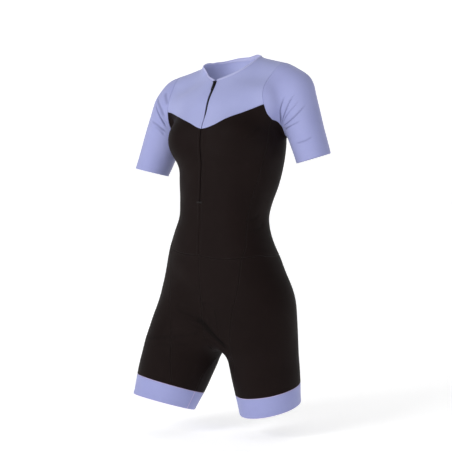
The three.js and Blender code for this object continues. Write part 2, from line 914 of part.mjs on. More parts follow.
function sliderShape() {
  const { width, length, thick, corner } = SLIDER;
  const plan = new THREE.Shape();
  const [w, l] = [width / 2, length / 2];
  plan.moveTo(-w + corner, l);
  plan.lineTo(w - corner, l);
  plan.quadraticCurveTo(w, l, w, l - corner);
  plan.lineTo(w * 0.8, -l + corner);
  plan.quadraticCurveTo(w * 0.78, -l, w * 0.4, -l);
  plan.lineTo(-w * 0.4, -l);
  plan.quadraticCurveTo(-w * 0.78, -l, -w * 0.8, -l + corner);
  plan.lineTo(-w, l - corner);
  plan.quadraticCurveTo(-w, l, -w + corner, l);
  return new THREE.ExtrudeGeometry(plan, { depth: thick, bevelEnabled: false, curveSegments: 5 });
}

function pinAt(radius, thick, y, z, x = 0) {
  const g = new THREE.CylinderGeometry(radius, radius, thick, 20);
  g.rotateZ(Math.PI / 2);
  g.translate(x, y, z);
  return g;
}

const PIN = { y: LUG.up, z: SLIDER.thick + LUG.height };

function slider() {
  let whole = solid(sliderShape());
  const between = TAB.head / 2 + LUG.room + LUG.thick / 2;
  const foot = SLIDER.thick - LUG.foot;
  for (const x of [-between, between]) {
    const block = new THREE.BoxGeometry(LUG.thick, LUG.radius * 2, PIN.z - foot);
    block.translate(x, PIN.y, (PIN.z + foot) / 2);
    whole = whole.add(solid(block)).add(solid(pinAt(LUG.radius, LUG.thick, PIN.y, PIN.z, x)));
  }
  return fromSolid(whole.add(solid(pinAt(LUG.pin, between * 2, PIN.y, PIN.z))));
}

// The tab hangs from the pin and lies just clear of the slider and the cloth
function tab() {
  const { head, width, length, thick, eye, hole, tip } = TAB;
  const plan = new THREE.Shape();
  const w = width / 2;
  const flare = -length * 0.4;
  plan.moveTo(-head / 2, 0);
  plan.lineTo(-head / 2, flare / 2);
  plan.quadraticCurveTo(-head / 2, flare, -w, flare * 1.4);
  plan.lineTo(-w, -length + tip);
  plan.quadraticCurveTo(-w, -length, -w + tip, -length);
  plan.lineTo(w - tip, -length);
  plan.quadraticCurveTo(w, -length, w, -length + tip);
  plan.lineTo(w, flare * 1.4);
  plan.quadraticCurveTo(head / 2, flare, head / 2, flare / 2);
  plan.lineTo(head / 2, 0);
  plan.closePath();
  const slot = new THREE.Path();
  const { up, half, reach } = TAB_SLOT;
  slot.absellipse(0, -length + up, half, reach, 0, Math.PI * 2, false, 0);
  plan.holes.push(slot);
  const plate = new THREE.ExtrudeGeometry(plan, {
    depth: thick,
    bevelEnabled: false,
    curveSegments: 6,
  });
  plate.translate(0, 0, -thick / 2);
  return fromSolid(
    solid(plate)
      .add(solid(pinAt(eye, head, 0, 0)))
      .subtract(solid(pinAt(hole, head + 2, 0, 0))),
  );
}

const TAB_LEAN = 3.5; // towards the cloth

// The slider's frame on the cloth
const seat = frontAt(centreAt(SLIDER.place), SLIDER.place);
const out = outward(seat);
const acrossWay = unit(cross([0, 0, 1], out));
const upWay = unit(cross(out, acrossWay));
const zipFrame = new THREE.Group();
zipFrame.quaternion.setFromRotationMatrix(
  new THREE.Matrix4().makeBasis(
    new THREE.Vector3(...acrossWay),
    new THREE.Vector3(...upWay),
    new THREE.Vector3(...out),
  ),
);
zipFrame.position.set(...add(seat, out, -SLIDER.depth));
suit.add(zipFrame);

const sliderMesh = new THREE.Mesh(slider(), zipPlastic);
sliderMesh.name = "zip_slider";
zipFrame.add(sliderMesh);
const tabMesh = new THREE.Mesh(tab(), zipPlastic);
tabMesh.name = "zip_pull";
tabMesh.position.set(0, PIN.y, PIN.z);
tabMesh.rotation.x = degrees(TAB_LEAN);
zipFrame.add(tabMesh);

export default suit;
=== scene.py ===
"""The look of a short-sleeved triathlon suit with a front zip, filled out with no wearer.

The cut pieces are thin shells on the form that their solids have, with their creases, seams,
stitches, edge bands and zip. Lengths are in millimetres until a mesh is made of them.
"""

import math

import bpy
import numpy as np
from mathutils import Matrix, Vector


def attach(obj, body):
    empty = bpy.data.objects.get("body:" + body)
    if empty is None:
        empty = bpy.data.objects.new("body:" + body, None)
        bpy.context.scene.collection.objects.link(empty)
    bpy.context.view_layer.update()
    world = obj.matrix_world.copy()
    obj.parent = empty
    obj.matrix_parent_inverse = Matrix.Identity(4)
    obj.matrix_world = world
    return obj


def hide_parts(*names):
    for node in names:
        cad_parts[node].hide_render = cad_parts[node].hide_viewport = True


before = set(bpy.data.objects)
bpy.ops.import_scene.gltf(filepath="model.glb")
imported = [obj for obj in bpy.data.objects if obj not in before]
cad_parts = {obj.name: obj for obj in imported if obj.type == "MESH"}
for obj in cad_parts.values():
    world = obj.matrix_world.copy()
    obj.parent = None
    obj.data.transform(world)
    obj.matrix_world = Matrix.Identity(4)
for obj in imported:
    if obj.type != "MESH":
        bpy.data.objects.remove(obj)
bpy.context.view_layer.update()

MM = 0.001
SIDES = {"left": 1, "right": -1}
FINE = 6  # fine steps in each step of the part's own grid


# Smooth tables


def table(*rows):
    """Rows in the order of their first column, with the slopes that read() follows."""
    rows = np.array(sorted(rows), float)
    place, values = rows[:, 0], rows[:, 1:]
    step = np.arange(len(place))
    low = np.maximum(step - 1, 0)
    high = np.minimum(step + 1, len(place) - 1)
    return place, values, (values[high] - values[low]) / (place[high] - place[low])[:, None]


def read(chart, at):
    """Smooth values of a table's other columns at a place in its first."""
    place, values, slopes = chart
    at = np.clip(at, place[0], place[-1])
    i = np.clip(np.searchsorted(place, at) - 1, 0, len(place) - 2)
    span = (place[i + 1] - place[i])[..., None]
    t = (at - place[i])[..., None] / span
    away = (1 - t) ** 2
    return (
        (1 + 2 * t) * away * values[i]
        + t * away * span * slopes[i]
        + t * t * (3 - 2 * t) * values[i + 1]
        + t * t * (t - 1) * span * slopes[i + 1]
    )


# The general figure that fills the suit

TRUNK = table(
    # z, half, front, back, middle
    (80, 56, -46, 62, 0),
    (0, 58, -48, 66, 0),
    (-40, 84, -60, 76, 0),
    (-80, 118, -80, 88, 0),
    (-120, 132, -99, 96, 0),
    (-165, 136, -114, 99, 0),
    (-210, 136, -118, 99, 1),
    (-250, 130, -116, 95, 2),
    (-300, 123, -115, 84, -1),
    (-345, 113, -115, 72, -6),
    (-380, 110, -114, 68, -10),
    (-425, 124, -114, 75, -14),
    (-475, 147, -113, 90, -16),
    (-530, 161, -110, 102, -16),
    (-590, 160, -102, 106, -16),
    (-650, 154, -94, 99, -16),
    (-730, 146, -90, 88, -16),
)
SECTION_POWER = 2.25
TRUNK_FLOOR = {"z": -688, "blend": 56}
CUP = {"middle": (62, -76, -196), "reach": (60, 56, 52), "blend": 38}
CHEST = {"inner": (40, -50, -130), "outer": (120, -33, -110), "radius": (38, 38), "blend": 42}
SHOULDERS = (
    {"inner": (44, 14, -49), "outer": (130, 14, -77), "radius": (50, 50)},
    {"inner": (-44, 14, -49), "outer": (-158, 2, -74), "radius": (50, 52)},
)
SHOULDER_BLEND = 26
# The cloth stands away round the right front of the neck
NECK_STAND = {"start": (-44, -37, -20), "end": (-66, -8, -18), "radius": (16, 16), "blend": 10}
ARM_BLEND = 20
LEG_BLEND = 40
CROTCH_BLEND = 20
LEAN = table(
    # z, rise for each millimetre towards the wearer's left
    (0, 0.07),
    (-40, 0.05),
    (-110, 0),
    (-260, 0),
    (-340, -0.04),
    (-430, -0.1),
    (-900, -0.1),
)


def size(a):
    return np.linalg.norm(a, axis=-1)


def unit(a):
    a = np.asarray(a, float)
    return a / np.maximum(size(a), 1e-12)[..., None]


def dot(a, b):
    return np.sum(a * b, axis=-1)


def limb(top, way, radius, swell, length, level):
    """An arm or a leg: a cone with round ends."""
    top, way = np.array(top, float), unit(way)
    return {
        "top": top,
        "way": way,
        "end": top + way * length,
        "radius": radius,
        "swell": swell,
        "length": length,
        "level": level,
    }


ARMS = {
    "left": limb((167, 16, -96), (0.22, 0.2, -1), (48, 41), 0, 154, (0, 0)),
    "right": limb((-174, -10, -108), (-0.38, -0.12, -1), (53, 42), 0, 170, (6, 0)),
}
LEGS = {
    "left": limb((70, 0, -590), (0.04, 0.17, -1), (89, 75), 3, 238, (-5, 5)),
    "right": limb((-100, -16, -612), (-0.25, -0.25, -1), (89, 74), 8, 244, (8, 0)),
}


def soft_min(a, b, k):
    h = np.clip(0.5 + 0.5 * (b - a) / k, 0, 1)
    return b + (a - b) * h - k * h * (1 - h)


def soft_max(a, b, k):
    return -soft_min(-a, -b, k)


def trunk(p):
    half, front, rear, middle = np.moveaxis(read(TRUNK, p[..., 2]), -1, 0)
    x = p[..., 0] - middle
    y = p[..., 1] - (front + rear) / 2
    gauge = (np.abs(x) / half) ** SECTION_POWER
    gauge += (np.abs(y) / ((rear - front) / 2)) ** SECTION_POWER
    r = np.hypot(x, y) + 1e-9
    return r - r / np.maximum(gauge ** (1 / SECTION_POWER), 1e-9)


def egg(p, middle, reach):
    q = p - middle
    reach = np.array(reach, float)
    k0 = size(q / reach)
    return k0 * (k0 - 1) / (size(q / reach**2) + 1e-9)


def round_cone(p, a, b, radius):
    a, b = np.asarray(a, float), np.asarray(b, float)
    ba = b - a
    l2 = ba @ ba
    fall = radius[0] - radius[1]
    a2 = l2 - fall * fall
    pa = p - a
    y = pa @ ba
    z = y - l2
    x2 = np.sum((pa * l2 - ba * y[..., None]) ** 2, axis=-1)
    y2 = y * y * l2
    z2 = z * z * l2
    k = np.sign(fall) * fall * fall * x2
    past_end = np.sign(z) * a2 * z2 > k
    before_start = np.sign(y) * a2 * y2 < k
    side = (np.sqrt(x2 * a2 / l2) + y * fall) / l2 - radius[0]
    start = np.sqrt(x2 + y2) / l2 - radius[0]
    end = np.sqrt(x2 + z2) / l2 - radius[1]
    return np.where(past_end, end, np.where(before_start, start, side))


def limb_cone(p, one):
    t = np.clip((p - one["top"]) @ one["way"] / one["length"], 0, 1)
    cone = round_cone(p, one["top"], one["end"], one["radius"])
    return cone - one["swell"] * 4 * t * (1 - t)


def rise_of(z):
    return read(LEAN, np.asarray(z, float))[..., 0]


def mirrored(p, side):
    return np.array([p[0] * side, p[1], p[2]], float)


def figure(point):
    """Below zero inside the figure, zero on the cloth's outer face."""
    p = np.array(point, float)
    p[..., 2] -= p[..., 0] * rise_of(p[..., 2])
    d = soft_max(trunk(p), TRUNK_FLOOR["z"] - p[..., 2], TRUNK_FLOOR["blend"])
    for side in SIDES.values():
        d = soft_min(d, egg(p, mirrored(CUP["middle"], side), CUP["reach"]), CUP["blend"])
    for side in SIDES.values():
        inner, outer = mirrored(CHEST["inner"], side), mirrored(CHEST["outer"], side)
        d = soft_min(d, round_cone(p, inner, outer, CHEST["radius"]), CHEST["blend"])
    for one in SHOULDERS:
        shoulder = round_cone(p, one["inner"], one["outer"], one["radius"])
        d = soft_min(d, shoulder, SHOULDER_BLEND)
    legs = soft_min(limb_cone(p, LEGS["left"]), limb_cone(p, LEGS["right"]), CROTCH_BLEND)
    d = soft_min(d, legs, LEG_BLEND)
    for side in SIDES:
        d = soft_min(d, limb_cone(p, ARMS[side]), ARM_BLEND)
    stand = round_cone(p, NECK_STAND["start"], NECK_STAND["end"], NECK_STAND["radius"])
    return soft_min(d, stand, NECK_STAND["blend"])


CORNERS = np.array([[1, -1, -1], [-1, -1, 1], [-1, 1, -1], [1, 1, 1]], float)


def slope(p, step=0.4):
    """The figure's slope, from the four corners of a small tetrahedron."""
    return sum(corner * figure(p + corner * step)[..., None] for corner in CORNERS) / (4 * step)


def outward(p):
    return unit(slope(p))


def settle(p, rounds=8):
    """Moves points onto the figure's surface."""
    p = np.array(p, float)
    for _ in range(rounds):
        d = figure(p)
        if np.abs(d).max() < 0.003:
            break
        g = slope(p)
        p += g * (-d / np.maximum(dot(g, g), 0.2))[..., None]
    return p


def cast(start, way):
    """Where lines from inside the figure come out."""
    start, way = np.broadcast_arrays(np.asarray(start, float), unit(way))
    reach = np.zeros(start.shape[:-1])
    for _ in range(80):
        d = figure(start + way * reach[..., None])
        out = d > -0.02
        if out.all():
            break
        reach = np.where(out, reach, reach - d * 0.75)
    return settle(start + way * reach[..., None])


# Places on the figure. Angle 0 is the front, 90 the wearer's left side or a limb's outer side.


def point(x, y, z):
    return np.stack(np.broadcast_arrays(x, y, z), -1).astype(float)


def ring(angle, z):
    angle, z = np.radians(angle), np.asarray(z, float)
    _, front, rear, middle = np.moveaxis(read(TRUNK, z), -1, 0)
    rise = rise_of(z)
    x, y = np.sin(angle), -np.cos(angle)
    return cast(point(middle, (front + rear) / 2, z + middle * rise), point(x, y, x * rise))


NECK_MIDDLE = np.array([0.0, 5.0, -120.0])


def dome(angle, up):
    angle, up = np.radians(angle), np.radians(up)
    way = point(np.sin(angle) * np.cos(up), -np.cos(angle) * np.cos(up), np.sin(up))
    return cast(NECK_MIDDLE, way)


def face_at(x, z, toward=-1):
    """A place seen from straight in front, or from behind with toward=1."""
    return cast(point(x, 30 * toward, z + x * rise_of(z)), (0, toward, 0))


ARMHOLE_MIDDLE = {"y": 8, "z": -95}


def armhole_at(side, angle, x):
    across = x * SIDES[side]
    y, z = ARMHOLE_MIDDLE["y"], ARMHOLE_MIDDLE["z"]
    angle = np.radians(angle)
    return cast(point(across, y, z + across * rise_of(z)), point(0, -np.cos(angle), np.sin(angle)))


def limb_at(one, side, angle, along):
    angle, along = np.radians(angle), np.asarray(along, float)
    front = np.array([0.0, -1.0, 0.0])
    outer = np.array([float(SIDES[side]), 0.0, 0.0])
    front = unit(front - one["way"] * (front @ one["way"]))
    outer = unit(outer - one["way"] * (outer @ one["way"]))
    way = front * np.cos(angle)[..., None] + outer * np.sin(angle)[..., None]
    level = one["level"][0] * np.sin(angle) + one["level"][1] * np.cos(angle)
    level = level * np.clip(along / one["length"], 0, 1)
    middle = one["top"] + one["way"] * along[..., None]
    middle[..., 2] += middle[..., 0] * rise_of(middle[..., 2])
    place = cast(middle, way)
    return settle(place + one["way"] * level[..., None])


RISE_MIDDLE = np.array([-16.0, 0.0, -600.0])


def rise_at(down):
    down = np.radians(down)
    return cast(RISE_MIDDLE, point(0, -np.cos(down), -np.sin(down)))


# Seam lines


def smooth_line(places, at):
    """A centripetal curve through places, read at equal parts from 0 to 1."""
    places = np.array(places, float)
    p = np.vstack([2 * places[0] - places[1], places, 2 * places[-1] - places[-2]])
    last = len(places) - 1
    gap = np.sqrt(size(np.diff(p, axis=0)))[:, None]

    def walk(t):
        i = np.minimum((t * last).astype(int), last - 1)
        t = (t * last - i)[:, None]
        before, here, after = gap[i], gap[i + 1], gap[i + 2]
        a, b, c, d = p[i], p[i + 1], p[i + 2], p[i + 3]
        leave = ((b - a) / before - (c - a) / (before + here) + (c - b) / here) * here
        arrive = ((c - b) / here - (d - b) / (here + after) + (d - c) / after) * here
        return (
            (2 * t**3 - 3 * t**2 + 1) * b
            + (t**3 - 2 * t**2 + t) * leave
            + (3 * t**2 - 2 * t**3) * c
            + (t**3 - t**2) * arrive
        )

    even = np.linspace(0, 1, 401)
    length = np.concatenate([[0], np.cumsum(size(np.diff(walk(even), axis=0)))])
    return walk(np.interp(np.asarray(at) * length[-1], length, even))


def seam(places, steps):
    line = settle(smooth_line(places, np.linspace(0, 1, steps * FINE + 1)))
    line[0], line[-1] = places[0], places[-1]
    return line


def joined(*lines):
    return np.vstack([lines[0]] + [line[1:] for line in lines[1:]])


def back(line):
    return line[::-1]


NECK_FRONT = -60
NECKLINE = {
    # angle, up
    "left": ((25, 42), (50, 46.5), (72, 51.5), (90, 56), (120, 61.6), (150, 64), (180, 64)),
    "right": ((25, 45.5), (50, 53), (72, 56.7), (90, 58.6), (120, 61.4), (150, 63.4), (180, 64)),
}
BINDING_RISE = {"height": 4.5, "front": -55.5}
SHOULDER_ROW = 3
YOKE_POINT = -175
YOKE_EDGE = (-80, -115, -136, -150)
BODICE_EDGE = (-230, -290)
CENTRE_LOW = (-385, -430)
YOKE_FRONT = {
    # x, z
    "left": ((22, -172), (44, -166), (85, -146)),
    "right": ((14, -171), (35, -160), (60, -150), (99, -138)),
}
YOKE_BACK = (
    # x, z
    (0, -128),
    (50, -123),
    (100, -112),
)
ARMHOLE = {
    "left": table(
        # angle, x
        (88, 149),
        (60, 141),
        (40, 133),
        (18, 132),
        (-9, 136),
        (-30, 139),
        (-52, 141),
        (-70, 143),
        (-90, 143),
        (-110, 139),
        (-129, 138),
        (-150, 141),
        (-165, 144),
        (-200, 143),
        (-235, 143),
        (-272, 149),
    ),
    "right": table(
        # angle, x
        (88, 150),
        (60, 148),
        (30, 148),
        (-9, 151),
        (-21, 154),
        (-35, 156),
        (-52, 154),
        (-70, 149),
        (-90, 143),
        (-110, 138),
        (-129, 137),
        (-150, 141),
        (-165, 145),
        (-200, 147),
        (-235, 148),
        (-272, 150),
    ),
}
ARM_CORNERS = {"shoulder": 88, "yoke": -21, "princess": -52, "rear_princess": -129, "rear_yoke": -165}
PRINCESS = (
    # angle, z
    (75, -197),
    (71, -262),
    (68, -340),
    (65, -405),
    (61, -441),
)
REAR_PRINCESS = (
    # angle, z
    (118, -215),
    (128, -300),
    (132, -380),
)
WAIST = table(
    # angle, z
    (0, -470),
    (30, -472),
    (55, -465),
    (75, -457),
    (90, -456),
    (132, -458),
    (180, -460),
)
WAIST_FRONT = (14, 28, 42)
WAIST_CORNERS = {"front": 55, "rear": 132}
BAND = 48
LEG_CORNERS = {"inseam": -88, "front": -42, "rear": 158, "round": 272}
RISE_LINE = {"x": -16, "z": (-530, -585), "front_down": (30, 60), "rear_down": (150, 120)}
INSEAM_ALONG = 140
LEG_FRONT = {"trunk": ((47, -540), (40, -600)), "leg": ((-14, 80), (-26, 140))}
LEG_REAR = {"trunk": ((131, -530), (131, -590)), "leg": ((168, 95),)}
CENTRE_FRONT = table(
    # z, x
    (-50, 0),
    (-170, -1),
    (-250, -6),
    (-345, -11),
    (-470, -16),
)
ZIP_END = -346
ZIP_OPENING = (
    # z, half the space between the front edges
    (-500, 0),
    (-351, 0),
    (-346, 0.9),
    (-150, 0.9),
    (-138, 2.1),
    (-115, 2.7),
    (-80, 3.6),
    (-40, 3.6),
)
STEPS = {
    "yoke_side": 6,
    "yoke_low": 8,
    "arm_low": 3,
    "underarm": 10,
    "princess": 13,
    "zip": 9,
    "rise": 10,
    "inseam": 6,
    "sleeve": 8,
    "band": 3,
}


def centre_at(z):
    return read(CENTRE_FRONT, np.asarray(z, float))[..., 0]


def front_edge(side, z):
    opening = np.interp(z, *np.transpose(ZIP_OPENING))
    return face_at(centre_at(z) + SIDES[side] * opening, np.asarray(z, float))


def waist_at(side, angle):
    angle = np.asarray(angle, float)
    return ring(SIDES[side] * angle, read(WAIST, angle)[..., 0])


def waist_line(side, start, end, steps):
    return seam(waist_at(side, np.linspace(start, end, 5)), steps)


def armhole_line(side, start, end, steps):
    count = max(2, round(abs(end - start) / 14))
    angle = np.linspace(start, end, count + 1)
    return seam(armhole_at(side, angle, read(ARMHOLE[side], angle)[..., 0]), steps)


def band_line(side, start, end, steps, along):
    angle = np.linspace(start, end, steps * FINE + 1)
    return limb_at(LEGS[side], side, angle, np.full_like(angle, along))


def seams_of(side):
    s = SIDES[side]
    leg = LEGS[side]
    band_top = leg["length"] - BAND
    at = ARM_CORNERS
    neck = np.array([dome(s * angle, up) for angle, up in NECKLINE[side]])
    neck_front = front_edge(side, NECK_FRONT)
    arm_top = armhole_at(side, at["shoulder"], read(ARMHOLE[side], at["shoulder"])[0])
    on_shoulder = neck[SHOULDER_ROW]
    arm = {
        "front": armhole_line(side, at["shoulder"], at["yoke"], STEPS["yoke_side"]),
        "front_low": armhole_line(side, at["yoke"], at["princess"], STEPS["arm_low"]),
        "under": armhole_line(side, at["princess"], at["rear_princess"], STEPS["underarm"]),
        "rear_low": armhole_line(side, at["rear_princess"], at["rear_yoke"], STEPS["arm_low"]),
        "rear": armhole_line(side, at["rear_yoke"], at["shoulder"] - 360, STEPS["yoke_side"]),
    }
    yoke_point = front_edge(side, YOKE_POINT)
    zip_end = front_edge(side, ZIP_END)
    waist_middle = front_edge(side, WAIST[1][0][0])
    waist_front = seam(
        [waist_middle, *(waist_at(side, a) for a in (*WAIST_FRONT, WAIST_CORNERS["front"]))],
        STEPS["yoke_low"],
    )
    waist_side = waist_line(side, WAIST_CORNERS["front"], WAIST_CORNERS["rear"], STEPS["underarm"])
    waist_rear = waist_line(side, WAIST_CORNERS["rear"], 180, STEPS["yoke_low"])
    centre = seam(
        [*(face_at(centre_at(z), z) for z in (ZIP_END, *CENTRE_LOW)), waist_middle],
        STEPS["princess"] + STEPS["arm_low"] - STEPS["zip"],
    )
    crotch = rise_at(90)
    corner = LEG_CORNERS
    band_front = band_line(side, corner["inseam"], corner["front"], STEPS["yoke_low"], band_top)
    band_side = band_line(side, corner["front"], corner["rear"], STEPS["underarm"], band_top)
    band_rear = band_line(side, corner["rear"], corner["round"], STEPS["yoke_low"], band_top)
    long_leg = STEPS["rise"] + STEPS["inseam"]
    return {
        "neck_front": seam(
            [neck_front, *neck[: SHOULDER_ROW + 1]], STEPS["yoke_side"] + STEPS["yoke_low"]
        ),
        "neck_rear": seam(neck[SHOULDER_ROW:], STEPS["yoke_side"] + STEPS["yoke_low"]),
        "shoulder": seam(
            [on_shoulder, settle((on_shoulder + arm_top) / 2), arm_top], STEPS["yoke_side"]
        ),
        "arm": arm,
        "yoke_edge": seam(
            [neck_front, *(front_edge(side, z) for z in YOKE_EDGE), yoke_point], STEPS["yoke_side"]
        ),
        "yoke_front": seam(
            [yoke_point, *(face_at(s * x, z) for x, z in YOKE_FRONT[side]), arm["front_low"][0]],
            STEPS["yoke_low"],
        ),
        "yoke_rear": seam(
            [*(face_at(s * x, z, 1) for x, z in YOKE_BACK), arm["rear"][0]], STEPS["yoke_low"]
        ),
        "bodice_edge": np.vstack(
            [
                seam(
                    [yoke_point, *(front_edge(side, z) for z in BODICE_EDGE), zip_end],
                    STEPS["zip"],
                ),
                centre[1:],
            ]
        ),
        "princess": seam(
            [arm["under"][0], *(ring(s * a, z) for a, z in PRINCESS), waist_side[0]],
            STEPS["princess"],
        ),
        "rear_princess": seam(
            [arm["rear_low"][0], *(ring(s * a, z) for a, z in REAR_PRINCESS), waist_rear[0]],
            STEPS["princess"],
        ),
        "waist_front": waist_front,
        "waist_side": waist_side,
        "waist_rear": waist_rear,
        "rise_front": seam(
            [
                waist_middle,
                *(face_at(RISE_LINE["x"], z) for z in RISE_LINE["z"]),
                *(rise_at(down) for down in RISE_LINE["front_down"]),
                crotch,
            ],
            STEPS["rise"],
        ),
        "rise_rear": seam(
            [
                waist_rear[-1],
                *(ring(180, z) for z in RISE_LINE["z"]),
                *(rise_at(down) for down in RISE_LINE["rear_down"]),
                crotch,
            ],
            STEPS["rise"],
        ),
        "inseam": seam(
            [crotch, limb_at(leg, side, corner["inseam"], INSEAM_ALONG), band_front[0]],
            STEPS["inseam"],
        ),
        "leg_front": seam(
            [
                waist_side[0],
                *(ring(s * a, z) for a, z in LEG_FRONT["trunk"]),
                *(limb_at(leg, side, a, along) for a, along in LEG_FRONT["leg"]),
                band_side[0],
            ],
            long_leg,
        ),
        "leg_rear": seam(
            [
                waist_rear[0],
                *(ring(s * a, z) for a, z in LEG_REAR["trunk"]),
                *(limb_at(leg, side, a, along) for a, along in LEG_REAR["leg"]),
                band_rear[0],
            ],
            long_leg,
        ),
        "band_front": band_front,
        "band_side": band_side,
        "band_rear": band_rear,
    }


# Cloth: rows of points between the seams

EVENING_ROUNDS = 30
NEAR_EDGE = (0, 0.15, 0.4, 0.7)  # rows close to an edge, in fine steps


def blended(top, bottom, sides, count):
    v = np.linspace(0, 1, count)[:, None, None]
    grid = top[None] * (1 - v) + bottom[None] * v
    if sides is None:
        return grid
    u = np.linspace(0, 1, len(top))[None, :, None]
    across = sides[0][:, None] * (1 - u) + sides[1][:, None] * u
    corners = (top[0] * (1 - u) + top[-1] * u) * (1 - v)
    corners = corners + (bottom[0] * (1 - u) + bottom[-1] * u) * v
    return grid + across - corners


def finer(values, axis, closed):
    """The same grid with FINE steps for each of its own along one axis."""
    values = np.moveaxis(values, axis, 0)
    count = len(values)
    place = np.arange(count * FINE if closed else (count - 1) * FINE + 1) / FINE
    i = np.minimum(place.astype(int), count - 1 if closed else count - 2)
    t = (place - i).reshape(-1, *[1] * (values.ndim - 1))

    def row(k):
        return values[k % count] if closed else values[np.clip(k, 0, count - 1)]

    a, b, c, d = row(i - 1), row(i), row(i + 1), row(i + 2)
    smooth = b + 0.5 * t * (
        c - a + t * (2 * a - 5 * b + 4 * c - d + t * (3 * (b - c) + d - a))
    )
    return np.moveaxis(smooth, 0, axis)


def fill(top, bottom, sides=None, steps=None):
    """Points on the figure between four seams, or round a tube where sides is None."""
    closed = sides is None
    steps = steps or (len(sides[0]) - 1) // FINE
    few = blended(
        top[::FINE], bottom[::FINE], None if closed else [side[::FINE] for side in sides], steps + 1
    )
    even = few.copy()
    even[1:-1] = settle(few[1:-1]) if closed else even[1:-1]
    inner = slice(None) if closed else slice(1, -1)
    for _ in range(EVENING_ROUNDS):
        beside = np.roll(even, 1, axis=1) + np.roll(even, -1, axis=1)
        mean = (beside[1:-1] + even[:-2] + even[2:]) / 4
        even[1:-1, inner] = settle(mean[:, inner], 2)
    fine = blended(top, bottom, sides, steps * FINE + 1)
    fine += finer(finer(even - few, 1, closed), 0, False)
    return fine


def closer_rows(count, dense=1):
    """Where the rows lie, in fine steps: closer together near both edges."""
    inner = np.linspace(1, count - 1, round((count - 2) * dense) + 1)
    edge = np.array(NEAR_EDGE)
    return np.concatenate([edge, inner, count - edge[::-1]])


def sampled(grid, place, axis):
    grid = np.moveaxis(grid, axis, 0)
    i = np.clip(place.astype(int), 0, len(grid) - 2)
    t = (place - i).reshape(-1, 1, 1)
    return np.moveaxis(grid[i] * (1 - t) + grid[i + 1] * t, 0, axis)


def steps_along(grid, axis):
    """Lengths from the first line of points along an axis."""
    steps = size(np.diff(grid, axis=axis))
    start = np.zeros_like(np.take(steps, [0], axis=axis))
    return np.concatenate([start, np.cumsum(steps, axis=axis)], axis=axis)


def panel(grid, closed=False, dense=(1, 1)):
    """A piece of cloth: its points, the way out of them and how far they lie from each edge."""
    fine = sampled(grid, closer_rows(len(grid) - 1, dense[0]), 0)
    if closed:
        count = grid.shape[1]
        around = np.linspace(0, count, round(count * dense[1]), endpoint=False)
        fine = sampled(np.concatenate([fine, fine[:, :1]], axis=1), around, 1)
    else:
        fine = sampled(fine, closer_rows(grid.shape[1] - 1, dense[1]), 1)
    fine = settle(fine)
    whole = np.concatenate([fine, fine[:, :1]], axis=1) if closed else fine
    down = steps_along(whole, 0)
    along = steps_along(whole, 1)
    return {
        "points": fine,
        "out": outward(fine),
        "closed": closed,
        "edges": {
            "top": down,
            "bottom": down[-1:] - down,
            "first": along,
            "last": along[:, -1:] - along,
        },
    }


def cut_size(one):
    """Width and length of a panel's flat cut, in metres, and its area."""
    p = one["points"]
    if one["closed"]:
        p = np.concatenate([p, p[:, :1]], axis=1)
    a, b, c, d = p[:-1, :-1], p[1:, :-1], p[1:, 1:], p[:-1, 1:]
    area = (size(np.cross(b - a, c - a)) + size(np.cross(c - a, d - a))).sum() / 2
    edges = one["edges"]
    width = edges["first"][:, -1].max() * MM
    length = edges["top"][-1].max() * MM
    return (width, length), min(area * MM * MM, width * length)


# Relief: what lifts or sinks the cloth, in its own places on the figure

